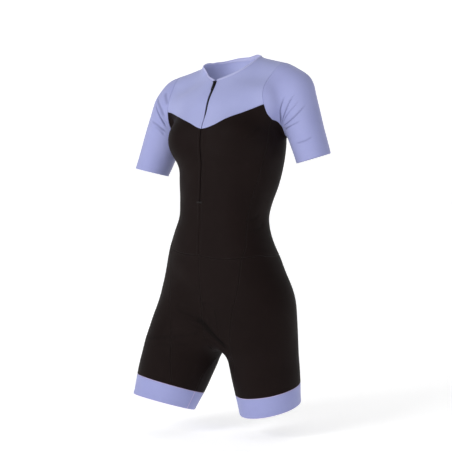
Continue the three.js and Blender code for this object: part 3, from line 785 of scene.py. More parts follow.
CREASES = {
    # a line of places, then its width, and its depth where it starts and where it ends
    "arm_left": (
        ([(-50, 62), (-42, 52), (-32, 42), (-19, 26), (-6, 10), (6, -2)], 1.9, 3.6, 1.2),
        ([(-50, 62), (-38, 52), (-22, 41), (-6, 29), (14, 13), (36, 0)], 1.8, 3.4, 1.6),
        ([(-44, 60), (-32, 52), (-14, 43), (4, 35), (26, 25), (44, 14)], 1.7, 2.4, 0.7),
        ([(-48, 66), (-36, 61), (-12, 57), (6, 52), (32, 42), (60, 28)], 1.9, 3.2, 1.5),
        ([(-50, 72), (-30, 69), (-8, 67), (16, 64), (30, 61)], 2.0, 2.6, 0.8),
        ([(-14, 110), (22, 110), (52, 105)], 2.6, 1.1, 0.9),
        ([(-118, 46), (-152, 28), (-178, 6)], 3.6, 2.2, 0.6),
        ([(-122, 60), (-165, 50), (-196, 34)], 3.8, 2.0, 0.5),
        ([(-120, 92), (-160, 88), (-186, 84)], 4.2, 1.1, 0.3),
    ),
    "arm_right": (
        ([(30, 2), (9, 19), (-18, 37), (-38, 50)], 2.4, 2.0, 2.8),
        ([(36, -14), (18, -2), (1, 9), (-24, 31)], 5.0, 1.5, 1.3),
        ([(26, 46), (-5, 51), (-30, 58), (-44, 62)], 3.6, 0.6, 2.0),
        ([(4, 56), (-17, 60), (-40, 70)], 4.0, 0.4, 1.4),
        ([(12, -34), (-6, -18), (-20, -4)], 6.0, 1.2, 1.0),
        ([(-124, 44), (-158, 30), (-182, 8)], 3.8, 2.2, 0.6),
        ([(-128, 62), (-168, 54), (-198, 36)], 4.0, 2.0, 0.5),
        ([(-124, 98), (-160, 94), (-190, 90)], 4.6, 1.1, 0.3),
    ),
    "leg_right": (
        ([(-6, 15), (-23, 16), (-43, 19)], 3.0, 0.4, 1.7),
        ([(-20, 25), (-36, 26), (-50, 24)], 3.0, 0.3, 1.5),
        ([(-27, 32), (-41, 37), (-57, 38)], 3.2, 0.3, 1.5),
        ([(-36, 14), (-52, 26), (-63, 43), (-76, 64)], 8.0, 2.0, 4.2),
        ([(-128, 58), (-142, 44), (-160, 34)], 4.4, 1.6, 0.4),
        ([(-124, 76), (-142, 66), (-166, 60)], 4.8, 1.3, 0.3),
    ),
    "leg_left": (
        ([(-30, 22), (-48, 34), (-66, 52)], 4.6, 0.4, 1.8),
        ([(-26, 44), (-46, 52), (-64, 66)], 4.8, 0.2, 1.1),
        ([(-126, 60), (-144, 46), (-164, 38)], 4.4, 1.6, 0.4),
        ([(-122, 80), (-142, 72), (-168, 66)], 4.8, 1.2, 0.3),
    ),
    "body": (
        ([(86, -366), (74, -378), (58, -384)], 5.0, 1.4, 0.2),
        ([(96, -384), (82, -398), (62, -406)], 5.4, 1.2, 0.2),
        ([(88, -448), (72, -442), (58, -440)], 4.6, 0.9, 0.2),
        ([(-92, -372), (-74, -388), (-56, -394)], 5.0, 1.4, 0.2),
        ([(-96, -404), (-80, -414), (-62, -416)], 5.4, 1.0, 0.2),
        ([(66, -170), (58, -186), (50, -204)], 4.6, 1.2, 0.2),
        ([(-66, -172), (-58, -190), (-48, -206)], 4.6, 1.4, 0.2),
        ([(116, -176), (126, -196), (138, -220)], 5.2, 1.6, 0.2),
        ([(-116, -176), (-126, -196), (-138, -220)], 5.2, 1.6, 0.2),
        ([(152, -372), (168, -380), (184, -378)], 6.0, 1.3, 0.4),
        ([(146, -398), (166, -408), (196, -404)], 6.4, 1.5, 0.4),
        ([(150, -352), (176, -356), (198, -350)], 6.0, 1.0, 0.3),
        ([(160, -560), (172, -584), (178, -610)], 6.0, 0.5, 1.2),
        ([(-160, -560), (-172, -584), (-178, -610)], 6.0, 0.5, 1.2),
    ),
}
PAD_LINES = (
    # the pad's outline shows through the front: x, y, z near the cloth
    [(24, -103, -588), (26, -97, -629), (29, -88, -669)],
    [(-29, -109, -534), (-11, -103, -584), (10, -96, -636), (20, -84, -672)],
    [(-20, -102, -588), (-6, -102, -580), (8, -102, -580), (22, -101, -592)],
)
PAD_LINE = {"width": 2.0, "depth": 0.9}
UNEVEN = (
    # wave length along x, y and z, start, height
    (170, 140, 96, 0.4, 0.45),
    (90, 210, 64, 2.1, 0.3),
    (64, 70, 150, 4.0, 0.22),
)


def crease_lines():
    """Every crease as points on the figure, with its width and its depth along it."""
    for name, creases in CREASES.items():
        for places, width, start, end in creases:
            first, second = np.transpose(places)
            if name == "body":
                on = ring(first, second)
            else:
                kind, side = name.split("_")
                on = limb_at((ARMS if kind == "arm" else LEGS)[side], side, first, second)
            yield on, width, start, end
    for places in PAD_LINES:
        yield settle(places), PAD_LINE["width"], PAD_LINE["depth"], PAD_LINE["depth"]


CREASE_FORM = {
    # points on its line, share of it that each end fades over, and its section in widths
    "points": 33,
    "fade": 0.22,
    "reach": 4.2,
    "ridge": 0.9,
    "fall": 0.75,
}
# Crease depth at which the painted crease shade is at its darkest
CREASE_SHADE_DEPTH = 2.0


def drawn_creases():
    lines = []
    at = np.linspace(0, 1, CREASE_FORM["points"])
    for places, width, start, end in crease_lines():
        ends = np.clip(np.minimum(at, 1 - at) / CREASE_FORM["fade"], 0, 1)
        depth = (start * (1 - at) + end * at) * ends * ends * (3 - 2 * ends)
        lines.append((settle(smooth_line(places, at)), width, depth))
    return lines


CREASE_LINES = drawn_creases()


def crease_height(points):
    """A soft trough along each crease, with a low ridge on both of its sides."""
    height = np.zeros(points.shape[:-1])
    for line, width, depth in CREASE_LINES:
        reach = CREASE_FORM["reach"] * width
        close = np.all(points > line.min(axis=0) - reach, axis=-1)
        close &= np.all(points < line.max(axis=0) + reach, axis=-1)
        if not close.any():
            continue
        apart = size(points[close][:, None] - line[None])
        nearest = apart.argmin(axis=1)
        r = (apart.min(axis=1) / width) ** 2
        section = (1 - CREASE_FORM["ridge"] * r) * np.exp(-CREASE_FORM["fall"] * r)
        height[close] -= depth[nearest] * section
    return height


def unevenness(points):
    x, y, z = np.moveaxis(points, -1, 0)
    turn = 2 * math.pi
    return sum(
        height * np.sin(turn * x / a + start) * np.cos(turn * y / b) * np.sin(turn * z / c + start)
        for a, b, c, start, height in UNEVEN
    )


def bump(d, place, width):
    return np.exp(-(((d - place) / width) ** 2))


def edge_height(kind, d):
    """How a seam, a folded edge or a hem shapes the cloth beside it."""
    if kind == "seam":
        return -0.65 * bump(d, 0, 1.0) + 0.28 * bump(d, 3.4, 1.7)
    if kind == "fold":
        return -0.6 * bump(d, 0, 0.5) + 0.3 * bump(d, 2.4, 2.0) - 0.3 * bump(d, 6.2, 0.9)
    if kind == "roll":
        return -0.5 * bump(d, 0, 0.6)
    if kind == "hem":
        return -0.55 * bump(d, 0, 0.45) + 0.2 * bump(d, 4.0, 4.0)
    return -0.3 * bump(d, 0, 1.0)


CLOTH_THICK = 0.7
EDGE_THICK = {
    # what an edge adds to the cloth's thickness, and how far in
    "seam": (0.0, 1.0),
    "fold": (0.7, 6.0),
    "hem": (0.6, 6.0),
    "bound": (0.2, 6.0),
    "roll": (-0.9, 0.7),
}


def thickness(one, kinds, thick):
    whole = np.full(one["points"].shape[:2], thick)
    count = whole.shape[1]
    for side, kind in kinds.items():
        more, reach = EDGE_THICK[kind]
        whole += more * bump(one["edges"][side][:, :count], 0, reach)
    return whole


def dressed(one, kinds, lift, thick):
    """The cloth's outer and inner face, with all that shapes it."""
    count = one["points"].shape[1]
    height = crease_height(one["points"]) + unevenness(one["points"]) + lift
    for side, kind in kinds.items():
        height += edge_height(kind, one["edges"][side][:, :count])
    outer = one["points"] + one["out"] * height[..., None]
    inner = outer - one["out"] * thickness(one, kinds, thick)[..., None]
    return outer, inner


# Meshes


def mesh_of(name, points, faces, material, uv=None, values=None):
    """A plain mesh with smooth shading: points in mm, faces by their points."""
    mesh = bpy.data.meshes.new(name)
    mesh.from_pydata((np.asarray(points) * MM).tolist(), [], np.asarray(faces).tolist())
    if uv is not None:
        layer = mesh.uv_layers.new(name="cloth")
        corner = np.empty(len(mesh.loops), dtype=np.int32)
        mesh.loops.foreach_get("vertex_index", corner)
        layer.data.foreach_set("uv", (np.asarray(uv)[corner] * MM).astype(np.float32).ravel())
    for key, value in (values or {}).items():
        mesh.attributes.new(key, "FLOAT", "POINT").data.foreach_set("value", value)
    mesh.shade_smooth()
    mesh.materials.append(material)
    piece = bpy.data.objects.new(name, mesh)
    bpy.context.scene.collection.objects.link(piece)
    return piece


def grid_faces(rows, columns, closed, start=0):
    i, j = np.meshgrid(np.arange(rows - 1), np.arange(columns - (not closed)), indexing="ij")
    k = (j + 1) % columns
    ids = [i * columns + j, (i + 1) * columns + j, (i + 1) * columns + k, i * columns + k]
    return np.stack(ids, -1).reshape(-1, 4) + start


def rim_faces(line, sheet):
    """Faces between the outer and the inner face along a line of point numbers."""
    a, b = line[:-1], line[1:]
    return np.stack([a, b, b + sheet, a + sheet], -1)


def shell(name, one, kinds, material, lift=0.0, thick=CLOTH_THICK):
    """A closed thin shell of cloth on a panel."""
    outer, inner = dressed(one, kinds, lift, thick)
    one["outer"] = outer
    rows, columns = outer.shape[:2]
    closed = one["closed"]
    sheet = rows * columns
    ids = np.arange(sheet).reshape(rows, columns)
    ring_ids = np.concatenate([ids, ids[:, :1]], axis=1) if closed else ids
    face = grid_faces(rows, columns, closed)
    faces = [face, face[:, ::-1] + sheet]
    faces.append(rim_faces(ring_ids[0], sheet))
    faces.append(rim_faces(ring_ids[-1], sheet)[:, ::-1])
    if not closed:
        faces.append(rim_faces(ids[:, 0], sheet)[:, ::-1])
        faces.append(rim_faces(ids[:, -1], sheet))
    faces = np.vstack(faces)
    points = np.vstack([outer.reshape(-1, 3), inner.reshape(-1, 3)])
    a, b, c = points[face[:, 0]], points[face[:, 1]], points[face[:, 2]]
    way = np.sum(np.cross(b - a, c - a) * one["out"].reshape(-1, 3)[face[:, 0]])
    if way < 0:
        faces = faces[:, ::-1]
    edges = {side: d[:, :columns] for side, d in one["edges"].items()}
    uv = np.stack([edges["first"] - edges["last"], edges["top"] - edges["bottom"]], -1) / 2
    uv = np.tile(uv.reshape(-1, 2), (2, 1))
    near = np.minimum.reduce(list(edges.values()))
    # Painted shade: how deep each point lies in a crease, used to darken its colour there
    painted_crease_shade = np.clip(-crease_height(one["points"]) / CREASE_SHADE_DEPTH, 0, 1)
    values = {"near_edge": np.tile(near.ravel(), 2), "painted_crease_shade": np.tile(painted_crease_shade.ravel(), 2)}
    return mesh_of(name, points, faces, material, uv, values)


# Rows of stitches and teeth


def row_beside(one, side, d, pitch):
    """Places along a piece's edge, d inside it: points, the way along and the way out."""
    points, out = one["outer"], one["out"]
    apart = one["edges"][side][:, : points.shape[1]]
    if side in ("first", "last"):
        points, out, apart = (np.moveaxis(a, 0, 1) for a in (points, out, apart))
    elif one["closed"]:
        points, out, apart = (
            np.concatenate([a, a[:, :1]], axis=1) for a in (points, out, apart)
        )
    if side in ("bottom", "last"):
        points, out, apart = points[::-1], out[::-1], apart[::-1]
    i = np.clip((apart < d).sum(axis=0) - 1, 0, len(apart) - 2)
    j = np.arange(apart.shape[1])
    t = ((d - apart[i, j]) / np.maximum(apart[i + 1, j] - apart[i, j], 1e-6))[:, None]
    line = points[i, j] * (1 - t) + points[i + 1, j] * t
    way_out = out[i, j]
    length = np.concatenate([[0], np.cumsum(size(np.diff(line, axis=0)))])
    at = (np.arange(int(length[-1] / pitch)) + 0.5) * pitch

    def read_line(values, place):
        return np.stack([np.interp(place, length, v) for v in values.T], -1)

    along = read_line(line, at + 0.5) - read_line(line, at - 0.5)
    return read_line(line, at), unit(along), unit(read_line(way_out, at))


def turns_of(along, out):
    """XYZ turns that put x along and z out."""
    y = unit(np.cross(out, along))
    z = np.cross(along, y)
    return np.stack(
        [np.arctan2(y[:, 2], z[:, 2]), -np.arcsin(np.clip(along[:, 2], -1, 1)),
         np.arctan2(along[:, 1], along[:, 0])], -1
    )


SOCKETS = {"Length": 0, "Width": 1, "Height": 2}


def round_shape(name, material):
    """Node group: one small round shape at each point, turned as the point says."""
    group = bpy.data.node_groups.new(name, "GeometryNodeTree")
    face = group.interface
    face.new_socket("Geometry", in_out="INPUT", socket_type="NodeSocketGeometry")
    inputs = {
        label: face.new_socket(label, in_out="INPUT", socket_type="NodeSocketFloat").identifier
        for label in SOCKETS
    }
    face.new_socket("Geometry", in_out="OUTPUT", socket_type="NodeSocketGeometry")

    def node(kind, **values):
        made = group.nodes.new(kind)
        for key, value in values.items():
            made.inputs[key].default_value = value
        return made

    def link(a, out, b, into):
        group.links.new(a.outputs[out], b.inputs[into])

    start, end = node("NodeGroupInput"), node("NodeGroupOutput")
    ball = node("GeometryNodeMeshUVSphere", Segments=6, Rings=4, Radius=0.5)
    scale = node("ShaderNodeCombineXYZ")
    shape = node("GeometryNodeTransform")
    smooth = node("GeometryNodeSetShadeSmooth")
    turned = node("GeometryNodeInputNamedAttribute", Name="turn")
    turned.data_type = "FLOAT_VECTOR"
    spread = node("GeometryNodeInstanceOnPoints")
    real = node("GeometryNodeRealizeInstances")
    paint = node("GeometryNodeSetMaterial", Material=material)
    for label, axis in SOCKETS.items():
        link(start, label, scale, axis)
    link(ball, "Mesh", shape, "Geometry")
    link(scale, 0, shape, "Scale")
    link(shape, 0, smooth, 0)
    link(start, "Geometry", spread, "Points")
    link(smooth, 0, spread, "Instance")
    link(turned, 0, spread, "Rotation")
    link(spread, 0, real, 0)
    link(real, 0, paint, "Geometry")
    link(paint, 0, end, 0)
    return group, inputs


def repeated(name, rows, lengths, material):
    """Many small round shapes of one size, in millimetres, as one plain mesh."""
    places, along, out = (np.vstack(part) for part in zip(*rows))
    mesh = bpy.data.meshes.new(name + "_places")
    mesh.from_pydata((places * MM).tolist(), [], [])
    turn = mesh.attributes.new("turn", "FLOAT_VECTOR", "POINT")
    turn.data.foreach_set("vector", turns_of(along, out).astype(np.float32).ravel())
    holder = bpy.data.objects.new(name + "_places", mesh)
    bpy.context.scene.collection.objects.link(holder)
    group, inputs = round_shape(name, material)
    modifier = holder.modifiers.new("shapes", "NODES")
    modifier.node_group = group
    for label, length in zip(SOCKETS, lengths):
        modifier[inputs[label]] = length * MM
    return plain_copy(holder, name)


def plain_copy(holder, name):
    """What an object's modifiers make, as an object of its own, and the first one goes."""
    bpy.context.view_layer.update()
    graph = bpy.context.evaluated_depsgraph_get()
    mesh = bpy.data.meshes.new_from_object(holder.evaluated_get(graph))
    bpy.data.objects.remove(holder)
    piece = bpy.data.objects.new(name, mesh)
    bpy.context.scene.collection.objects.link(piece)
    return piece


# Finishes


class Value:
    """A number in a material's nodes, for use in plain expressions."""

    def __init__(self, finish, socket):
        self.finish = finish
        self.socket = socket

    def math(self, operation, *others):
        sockets = dict(enumerate((self, *others)))
        return self.finish.node("ShaderNodeMath", {"operation": operation}, sockets)

    def __add__(self, other):
        return self.math("ADD", other)

    def __sub__(self, other):
        return self.math("SUBTRACT", other)

    def __rsub__(self, other):
        return (self * -1) + other

    def __mul__(self, other):
        return self.math("MULTIPLY", other)

    __radd__ = __add__
    __rmul__ = __mul__

    def wave(self):
        return self.math("SINE")

    def part(self):
        return self.math("FRACT")

    def plain(self):
        return self.math("ABSOLUTE")

    def ramp(self, low, high):
        """0 below low, 1 above high and smooth between."""
        settings = {"interpolation_type": "SMOOTHSTEP"}
        sockets = {"Value": self, "From Min": low, "From Max": high}
        return self.finish.node("ShaderNodeMapRange", settings, sockets)


class Finish:
    """A material whose nodes are made by node() and by expressions on their values."""

    def __init__(self, name, **shader):
        self.material = bpy.data.materials.new(name)
        self.material.use_nodes = True
        self.nodes = self.material.node_tree.nodes
        self.links = self.material.node_tree.links
        self.shader = self.nodes["Principled BSDF"]
        for key, value in shader.items():
            self.feed(self.shader, key.replace("_", " ").title(), value)

    def feed(self, node, key, value):
        usable = [s for s in node.inputs if s.enabled]
        socket = usable[key] if isinstance(key, int) else next(
            s for s in usable if key in (s.name, s.identifier)
        )
        if isinstance(value, Value):
            self.links.new(value.socket, socket)
        else:
            socket.default_value = value

    def node(self, kind, settings=None, sockets=None, output=0):
        made = self.nodes.new(kind)
        for key, value in (settings or {}).items():
            setattr(made, key, value)
        for key, value in (sockets or {}).items():
            self.feed(made, key, value)
        outputs = [s for s in made.outputs if s.enabled]
        found = outputs[output] if isinstance(output, int) else made.outputs[output]
        return Value(self, found)

    def cloth_place(self):
        """Across and down a cut piece, in millimetres."""
        uv = self.node("ShaderNodeUVMap", {"uv_map": "cloth"})
        across = self.node("ShaderNodeSeparateXYZ", None, {"Vector": uv}, output="X")
        down = self.node("ShaderNodeSeparateXYZ", None, {"Vector": uv}, output="Y")
        return across * 1000, down * 1000

    def value_of(self, name):
        return self.node("ShaderNodeAttribute", {"attribute_name": name}, output="Fac")

    def noise(self, scale, detail=2.0):
        place = self.node("ShaderNodeTexCoord", output="Object")
        sockets = {"Vector": place, "Scale": scale, "Detail": detail}
        return self.node("ShaderNodeTexNoise", None, sockets)

    def mixed(self, factor, a, b):
        sockets = {"Factor_Float": factor, "A_Color": a, "B_Color": b}
        return self.node("ShaderNodeMix", {"data_type": "RGBA"}, sockets)

    def bumped(self, height, distance, strength=1.0):
        sockets = {"Height": height, "Distance": distance, "Strength": strength}
        self.feed(self.shader, "Normal", self.node("ShaderNodeBump", None, sockets))

    def colour(self, value):
        self.feed(self.shader, "Base Color", value)


def linear(hexadecimal, gain=1.0):
    """A colour's linear values from its six hexadecimal digits."""
    parts = [int(hexadecimal[i : i + 2], 16) / 255 for i in (0, 2, 4)]
    lit = [p / 12.92 if p <= 0.04045 else ((p + 0.055) / 1.055) ** 2.4 for p in parts]
    return (*(p * gain for p in lit), 1.0)


def knit_height(finish, wale, course):
    """The loops of a fine knit: columns of small slanted stitches."""
    across, down = finish.cloth_place()
    fold = ((across * (1 / wale)).part() - 0.5).plain() * 2
    slant = (down * (1 / course) + fold * 0.8) * (2 * math.pi)
    return (slant.wave() * 0.5 + 0.5) * fold.ramp(-0.1, 0.5) * (1 - fold.ramp(0.85, 1.1) * 0.5)


# Painted shade in the creases: how much of it there is and how dark it is
PAINTED_CREASE_SHADE = {"share": 0.85, "dark": 0.45}  # how much darker a crease's bottom is


def toned(colour, share):
    return (*(c * share for c in colour[:3]), 1.0)


def knit(name, colour, deep, wale, course, rough, bump_mm, sheen, gloss=0.3, tint=None):
    finish = Finish(name, sheen_weight=sheen, sheen_roughness=0.45)
    finish.feed(finish.shader, "Specular IOR Level", gloss)
    height = knit_height(finish, wale, course)
    cloudy = finish.noise(14, 3).ramp(0.3, 0.75)
    grain = finish.noise(900, 1).ramp(0.3, 0.7)
    # Painted shade: (1 - height) darkens the knit's valleys between the loops, while cloudy and grain are
    # random tone
    base = finish.mixed(cloudy * 0.3 + grain * 0.12 + (1 - height) * 0.3, colour, deep)
    # Painted shade: the bottoms of creases are darkened towards a dark tone of the cloth
    base = finish.mixed(finish.value_of("painted_crease_shade") * PAINTED_CREASE_SHADE["share"], base, toned(deep, PAINTED_CREASE_SHADE["dark"]))
    if tint:
        near = finish.value_of("near_edge")
        base = finish.mixed((1 - near.ramp(tint["from"], tint["to"])) * tint["share"], base, tint["colour"])
    finish.colour(base)
    finish.feed(finish.shader, "Roughness", cloudy * 0.05 + grain * 0.04 + rough)
    finish.bumped(height + grain * 0.4, bump_mm * MM, 0.55)
    return finish.material


LAVENDER = knit("lavender_knit", linear("9da2cc"), linear("8f94c2"), 0.62, 0.5, 0.66, 0.05, 0.18)
SLEEVE = knit("sleeve_knit", linear("9b9fcb"), linear("8b90c1"), 0.72, 0.58, 0.66, 0.06, 0.18)
BLACK = knit("black_knit", linear("180f0e"), linear("110a09"), 0.55, 0.45, 0.62, 0.04, 0.004, 0.07)
BAND_EDGE = {"from": 0.7, "to": 1.5, "share": 0.75, "colour": linear("c9b6dc")}
BAND_CLOTH = knit(
    "band_knit", linear("979ccb"), linear("888cbe"), 1.1, 0.36, 0.6, 0.05, 0.14, tint=BAND_EDGE
)
BINDING = knit("binding_knit", linear("acaed2"), linear("999dc8"), 0.6, 0.42, 0.62, 0.04, 0.16)


def thread(name, colour):
    finish = Finish(name, roughness=0.55, sheen_weight=0.1)
    ply = finish.noise(2500, 1).ramp(0.35, 0.65)
    finish.feed(finish.shader, "Specular IOR Level", 0.2)
    finish.colour(finish.mixed(ply, colour, toned(colour, 0.8)))
    finish.bumped(ply, 0.03 * MM, 0.4)
    return finish.material


LAVENDER_THREAD = thread("lavender_thread", linear("9a9fc9"))
BLACK_THREAD = thread("black_thread", linear("1a1514"))


def moulded(name, colour, rough):
    finish = Finish(name)
    finish.feed(finish.shader, "Specular IOR Level", 0.2)
    fleck = finish.noise(260, 4).ramp(0.35, 0.7)
    finish.colour(finish.mixed(fleck, colour, toned(colour, 1.5)))
    finish.feed(finish.shader, "Roughness", fleck * 0.12 + rough)
    finish.bumped(fleck, 0.02 * MM, 0.3)
    return finish.material


ZIP_PLASTIC = moulded("zip_plastic", linear("0c0a0b"), 0.52)
TOOTH_PLASTIC = moulded("tooth_plastic", linear("131112"), 0.45)


def woven_tape():
    finish = Finish("zip_tape_weave", sheen_weight=0.05)
    across, down = finish.cloth_place()
    rib = (across * (2 * math.pi / 0.5)).wave() * 0.5 + (down * (2 * math.pi / 0.45)).wave() * 0.5
    finish.colour(finish.mixed(rib.ramp(-0.6, 0.8), linear("100e0e"), linear("1b1817")))
    finish.feed(finish.shader, "Roughness", rib * 0.05 + 0.7)
    finish.bumped(rib, 0.08 * MM, 0.5)
    return finish.material


TAPE = woven_tape()


# The cut pieces

SEAMS = {side: seams_of(side) for side in SIDES}


def cut_pieces():
    """Each panel's grid, with how its four edges are sewn, folded or hemmed."""
    pieces = {}
    every = {"top": "seam", "bottom": "seam", "first": "seam", "last": "seam"}
    for side in SIDES:
        e = SEAMS[side]
        arm = e["arm"]
        outer_yoke = joined(arm["front"], back(e["yoke_front"]))
        pieces[f"yoke_front_{side}"] = (
            fill(e["neck_front"], back(outer_yoke), (e["yoke_edge"], e["shoulder"])),
            {**every, "top": "bound", "first": "fold"},
        )
        pieces[f"bodice_front_{side}"] = (
            fill(
                e["yoke_front"],
                e["waist_front"],
                (e["bodice_edge"], joined(arm["front_low"], e["princess"])),
            ),
            {**every, "first": "fold"},
        )
        pieces[f"side_panel_{side}"] = (
            fill(arm["under"], e["waist_side"], (e["princess"], e["rear_princess"])),
            every,
        )
        inside_front = joined(e["rise_front"], e["inseam"])
        inside_rear = joined(e["rise_rear"], e["inseam"])
        pieces[f"shorts_front_{side}"] = (
            fill(e["waist_front"], e["band_front"], (inside_front, e["leg_front"])),
            every,
        )
        pieces[f"shorts_side_{side}"] = (
            fill(e["waist_side"], e["band_side"], (e["leg_front"], e["leg_rear"])),
            every,
        )
        pieces[f"shorts_back_{side}"] = (
            fill(e["waist_rear"], e["band_rear"], (e["leg_rear"], inside_rear)),
            every,
        )
    left, right = SEAMS["left"], SEAMS["right"]
    pieces["yoke_back"] = (
        fill(
            joined(left["neck_rear"], back(right["neck_rear"])),
            joined(
                back(left["arm"]["rear"]),
                back(left["yoke_rear"]),
                right["yoke_rear"],
                right["arm"]["rear"],
            ),
            (left["shoulder"], right["shoulder"]),
        ),
        {**every, "top": "bound"},
    )
    pieces["bodice_back"] = (
        fill(
            joined(back(left["yoke_rear"]), right["yoke_rear"]),
            joined(left["waist_rear"], back(right["waist_rear"])),
            [joined(back(e["arm"]["rear_low"]), e["rear_princess"]) for e in (left, right)],
        ),
        every,
    )
    return pieces


def sleeve_grid(side):
    whole = joined(*SEAMS[side]["arm"].values())[:-1]
    up = whole[:, 2] - ARMHOLE_MIDDLE["z"] - whole[:, 0] * rise_of(whole[:, 2])
    angle = np.degrees(np.arctan2(up, ARMHOLE_MIDDLE["y"] - whole[:, 1]))
    hem = limb_at(ARMS[side], side, angle, np.full_like(angle, ARMS[side]["length"]))
    return fill(whole, hem, None, STEPS["sleeve"])


def band_grid(side):
    corner = LEG_CORNERS
    legs = LEGS[side]["length"]
    rows = []
    for along in np.linspace(legs - BAND, legs, STEPS["band"] * FINE + 1):
        rows.append(
            joined(
                band_line(side, corner["inseam"], corner["front"], STEPS["yoke_low"], along),
                band_line(side, corner["front"], corner["rear"], STEPS["underarm"], along),
                band_line(side, corner["rear"], corner["round"], STEPS["yoke_low"], along),
            )[:-1]
        )
    return np.array(rows)


def binding_grid():
    """The neck edge's binding, from one zip edge round to the other."""
    left, right = SEAMS["left"], SEAMS["right"]
    low = joined(
        left["neck_front"], left["neck_rear"], back(right["neck_rear"]), back(right["neck_front"])
    )
    q = low - NECK_MIDDLE
    angle = np.degrees(np.arctan2(q[:, 0], -q[:, 1]))
    rise = BINDING_RISE["height"] / size(q)
    high = dome(angle, np.degrees(np.arctan2(q[:, 2], np.hypot(q[:, 0], q[:, 1])) + rise))
    high[0] = front_edge("left", BINDING_RISE["front"])
    high[-1] = front_edge("right", BINDING_RISE["front"])
    return settle(blended(high, low, None, FINE + 1))


def front_strip(top, bottom, half, rows, columns):
    z = np.linspace(top, bottom, rows + 1)[:, None]
    across = np.linspace(-half, half, columns + 1)[None]
    return face_at(centre_at(z) + across, np.broadcast_to(z, (rows + 1, columns + 1)))


SUIT = "suit"
LEAST_CUT = 0.0101
cloth = {}


def add_cloth(node, one, kinds, material, slot, **form):
    piece = shell(node + "_cloth", one, kinds, material, **form)
    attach(piece, SUIT)
    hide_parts(node)
    (width, length), area = cut_size(one)
    max(length, LEAST_CUT)
    cloth[node] = (one, kinds)


SLEEVE_DENSE = (2.3, 1.7)
for node, (grid, kinds) in cut_pieces().items():
    lavender = "yoke" in node
    slot = "lavender_cloth" if lavender else "black_cloth"
    add_cloth(node, panel(grid), kinds, LAVENDER if lavender else BLACK, slot)
for side in SIDES:
    kinds = {"top": "seam", "bottom": "hem"}
    sleeve = panel(sleeve_grid(side), closed=True, dense=SLEEVE_DENSE)
    add_cloth(f"sleeve_{side}", sleeve, kinds, SLEEVE, "sleeve_cloth")
    kinds = {**kinds, "first": "seam", "last": "seam"}
    band = panel(band_grid(side), closed=True)
    add_cloth(f"leg_band_{side}", band, kinds, BAND_CLOTH, "band_cloth")
rolled = {"top": "roll", "bottom": "seam", "first": "roll", "last": "roll"}
add_cloth(
    "neck_binding", panel(binding_grid()), rolled, BINDING, "binding_cloth", lift=0.7, thick=1.7
)

# The zip: tape and teeth behind the front edges, a bar tack at its end

ZIP_TAPE = {"top": -57, "half": 5.2, "depth": 2.7, "thick": 0.5}
TEETH = {"pitch": 1.6, "apart": 1.15, "from": -58.0, "size": (2.3, 1.0, 1.3), "depth": 2.3}
TACK = {"z": -345.5, "half": 7.6, "pitch": 0.75, "size": (4.4, 1.0, 1.3), "raise": 0.9}
tape = panel(front_strip(ZIP_TAPE["top"], ZIP_END, ZIP_TAPE["half"], 60, 6))
add_cloth(
    "zip_chain",
    tape,
    {side: "bound" for side in tape["edges"]},
    TAPE,
    "zip_plastic",
    lift=-ZIP_TAPE["depth"],
    thick=ZIP_TAPE["thick"],
)


def lifted(places, raised):
    """Rows of shapes that stand on the figure: points, the way across and the way out."""
    out = outward(places)
    along = unit(np.cross(out, np.gradient(places, axis=0)))
    return places + out * raised, along, out


def add_rows(name, rows, lengths, material, slot, *nodes):
    piece = repeated(name, rows, lengths, material)
    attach(piece, SUIT)
    if nodes:
        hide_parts(*nodes)


z = np.arange(TEETH["from"], ZIP_END, -TEETH["pitch"])
teeth = [
    lifted(face_at(centre_at(z - TEETH["pitch"] * half) + side * TEETH["apart"], z), -TEETH["depth"])
    for side, half in ((1, 0.0), (-1, 0.5))
]
add_rows("zip_teeth", teeth, TEETH["size"], TOOTH_PLASTIC, "zip_plastic")
x = centre_at(TACK["z"]) + np.arange(-TACK["half"], TACK["half"] + 0.1, TACK["pitch"])
tack = [lifted(face_at(x, np.full_like(x, TACK["z"])), TACK["raise"])]
add_rows("bar_tack_thread", tack, TACK["size"], BLACK_THREAD, "bar_tack", "zip_stop_bar")

# Seams: a row of stitches on both sides of each, and one along the front edges

STITCH = {"pitch": 2.8, "size": (2.1, 0.5, 0.36)}
STITCH_PLACE = {"seam": 1.7, "fold": 6.2, "bound": 1.7}
rows = {"lavender": [], "black": []}
for node, (one, kinds) in cloth.items():
    if node in ("zip_chain", "neck_binding"):
        continue
    kind_of_thread = "lavender" if any(w in node for w in ("yoke", "sleeve", "band")) else "black"
    for side, kind in kinds.items():
        if kind in STITCH_PLACE:
            rows[kind_of_thread].append(row_beside(one, side, STITCH_PLACE[kind], STITCH["pitch"]))
add_rows("lavender_stitches", rows["lavender"], STITCH["size"], LAVENDER_THREAD, "lavender_cloth")
add_rows("black_stitches", rows["black"], STITCH["size"], BLACK_THREAD, "black_cloth")


def softened(node, width, body):
    """A hard piece's copy with its edges rounded."""
    holder = bpy.data.objects.new(node + "_sharp", bpy.data.objects[node].data.copy())
    bpy.context.scene.collection.objects.link(holder)
    weld = holder.modifiers.new("weld", "WELD")
    weld.merge_threshold = 0.01 * MM
    bevel = holder.modifiers.new("edges", "BEVEL")
    bevel.width = width * MM
    bevel.segments = 2
    bevel.limit_method = "ANGLE"
    bevel.angle_limit = math.radians(35)
    piece = plain_copy(holder, node + "_moulded")
    piece.data.materials.clear()
    piece.data.materials.append(ZIP_PLASTIC)
    piece.data.shade_smooth()
    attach(piece, body)
    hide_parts(node)


softened("zip_slider", 0.3, SUIT)
softened("zip_pull", 0.28, "pull_tab")


# Camera, floor and light

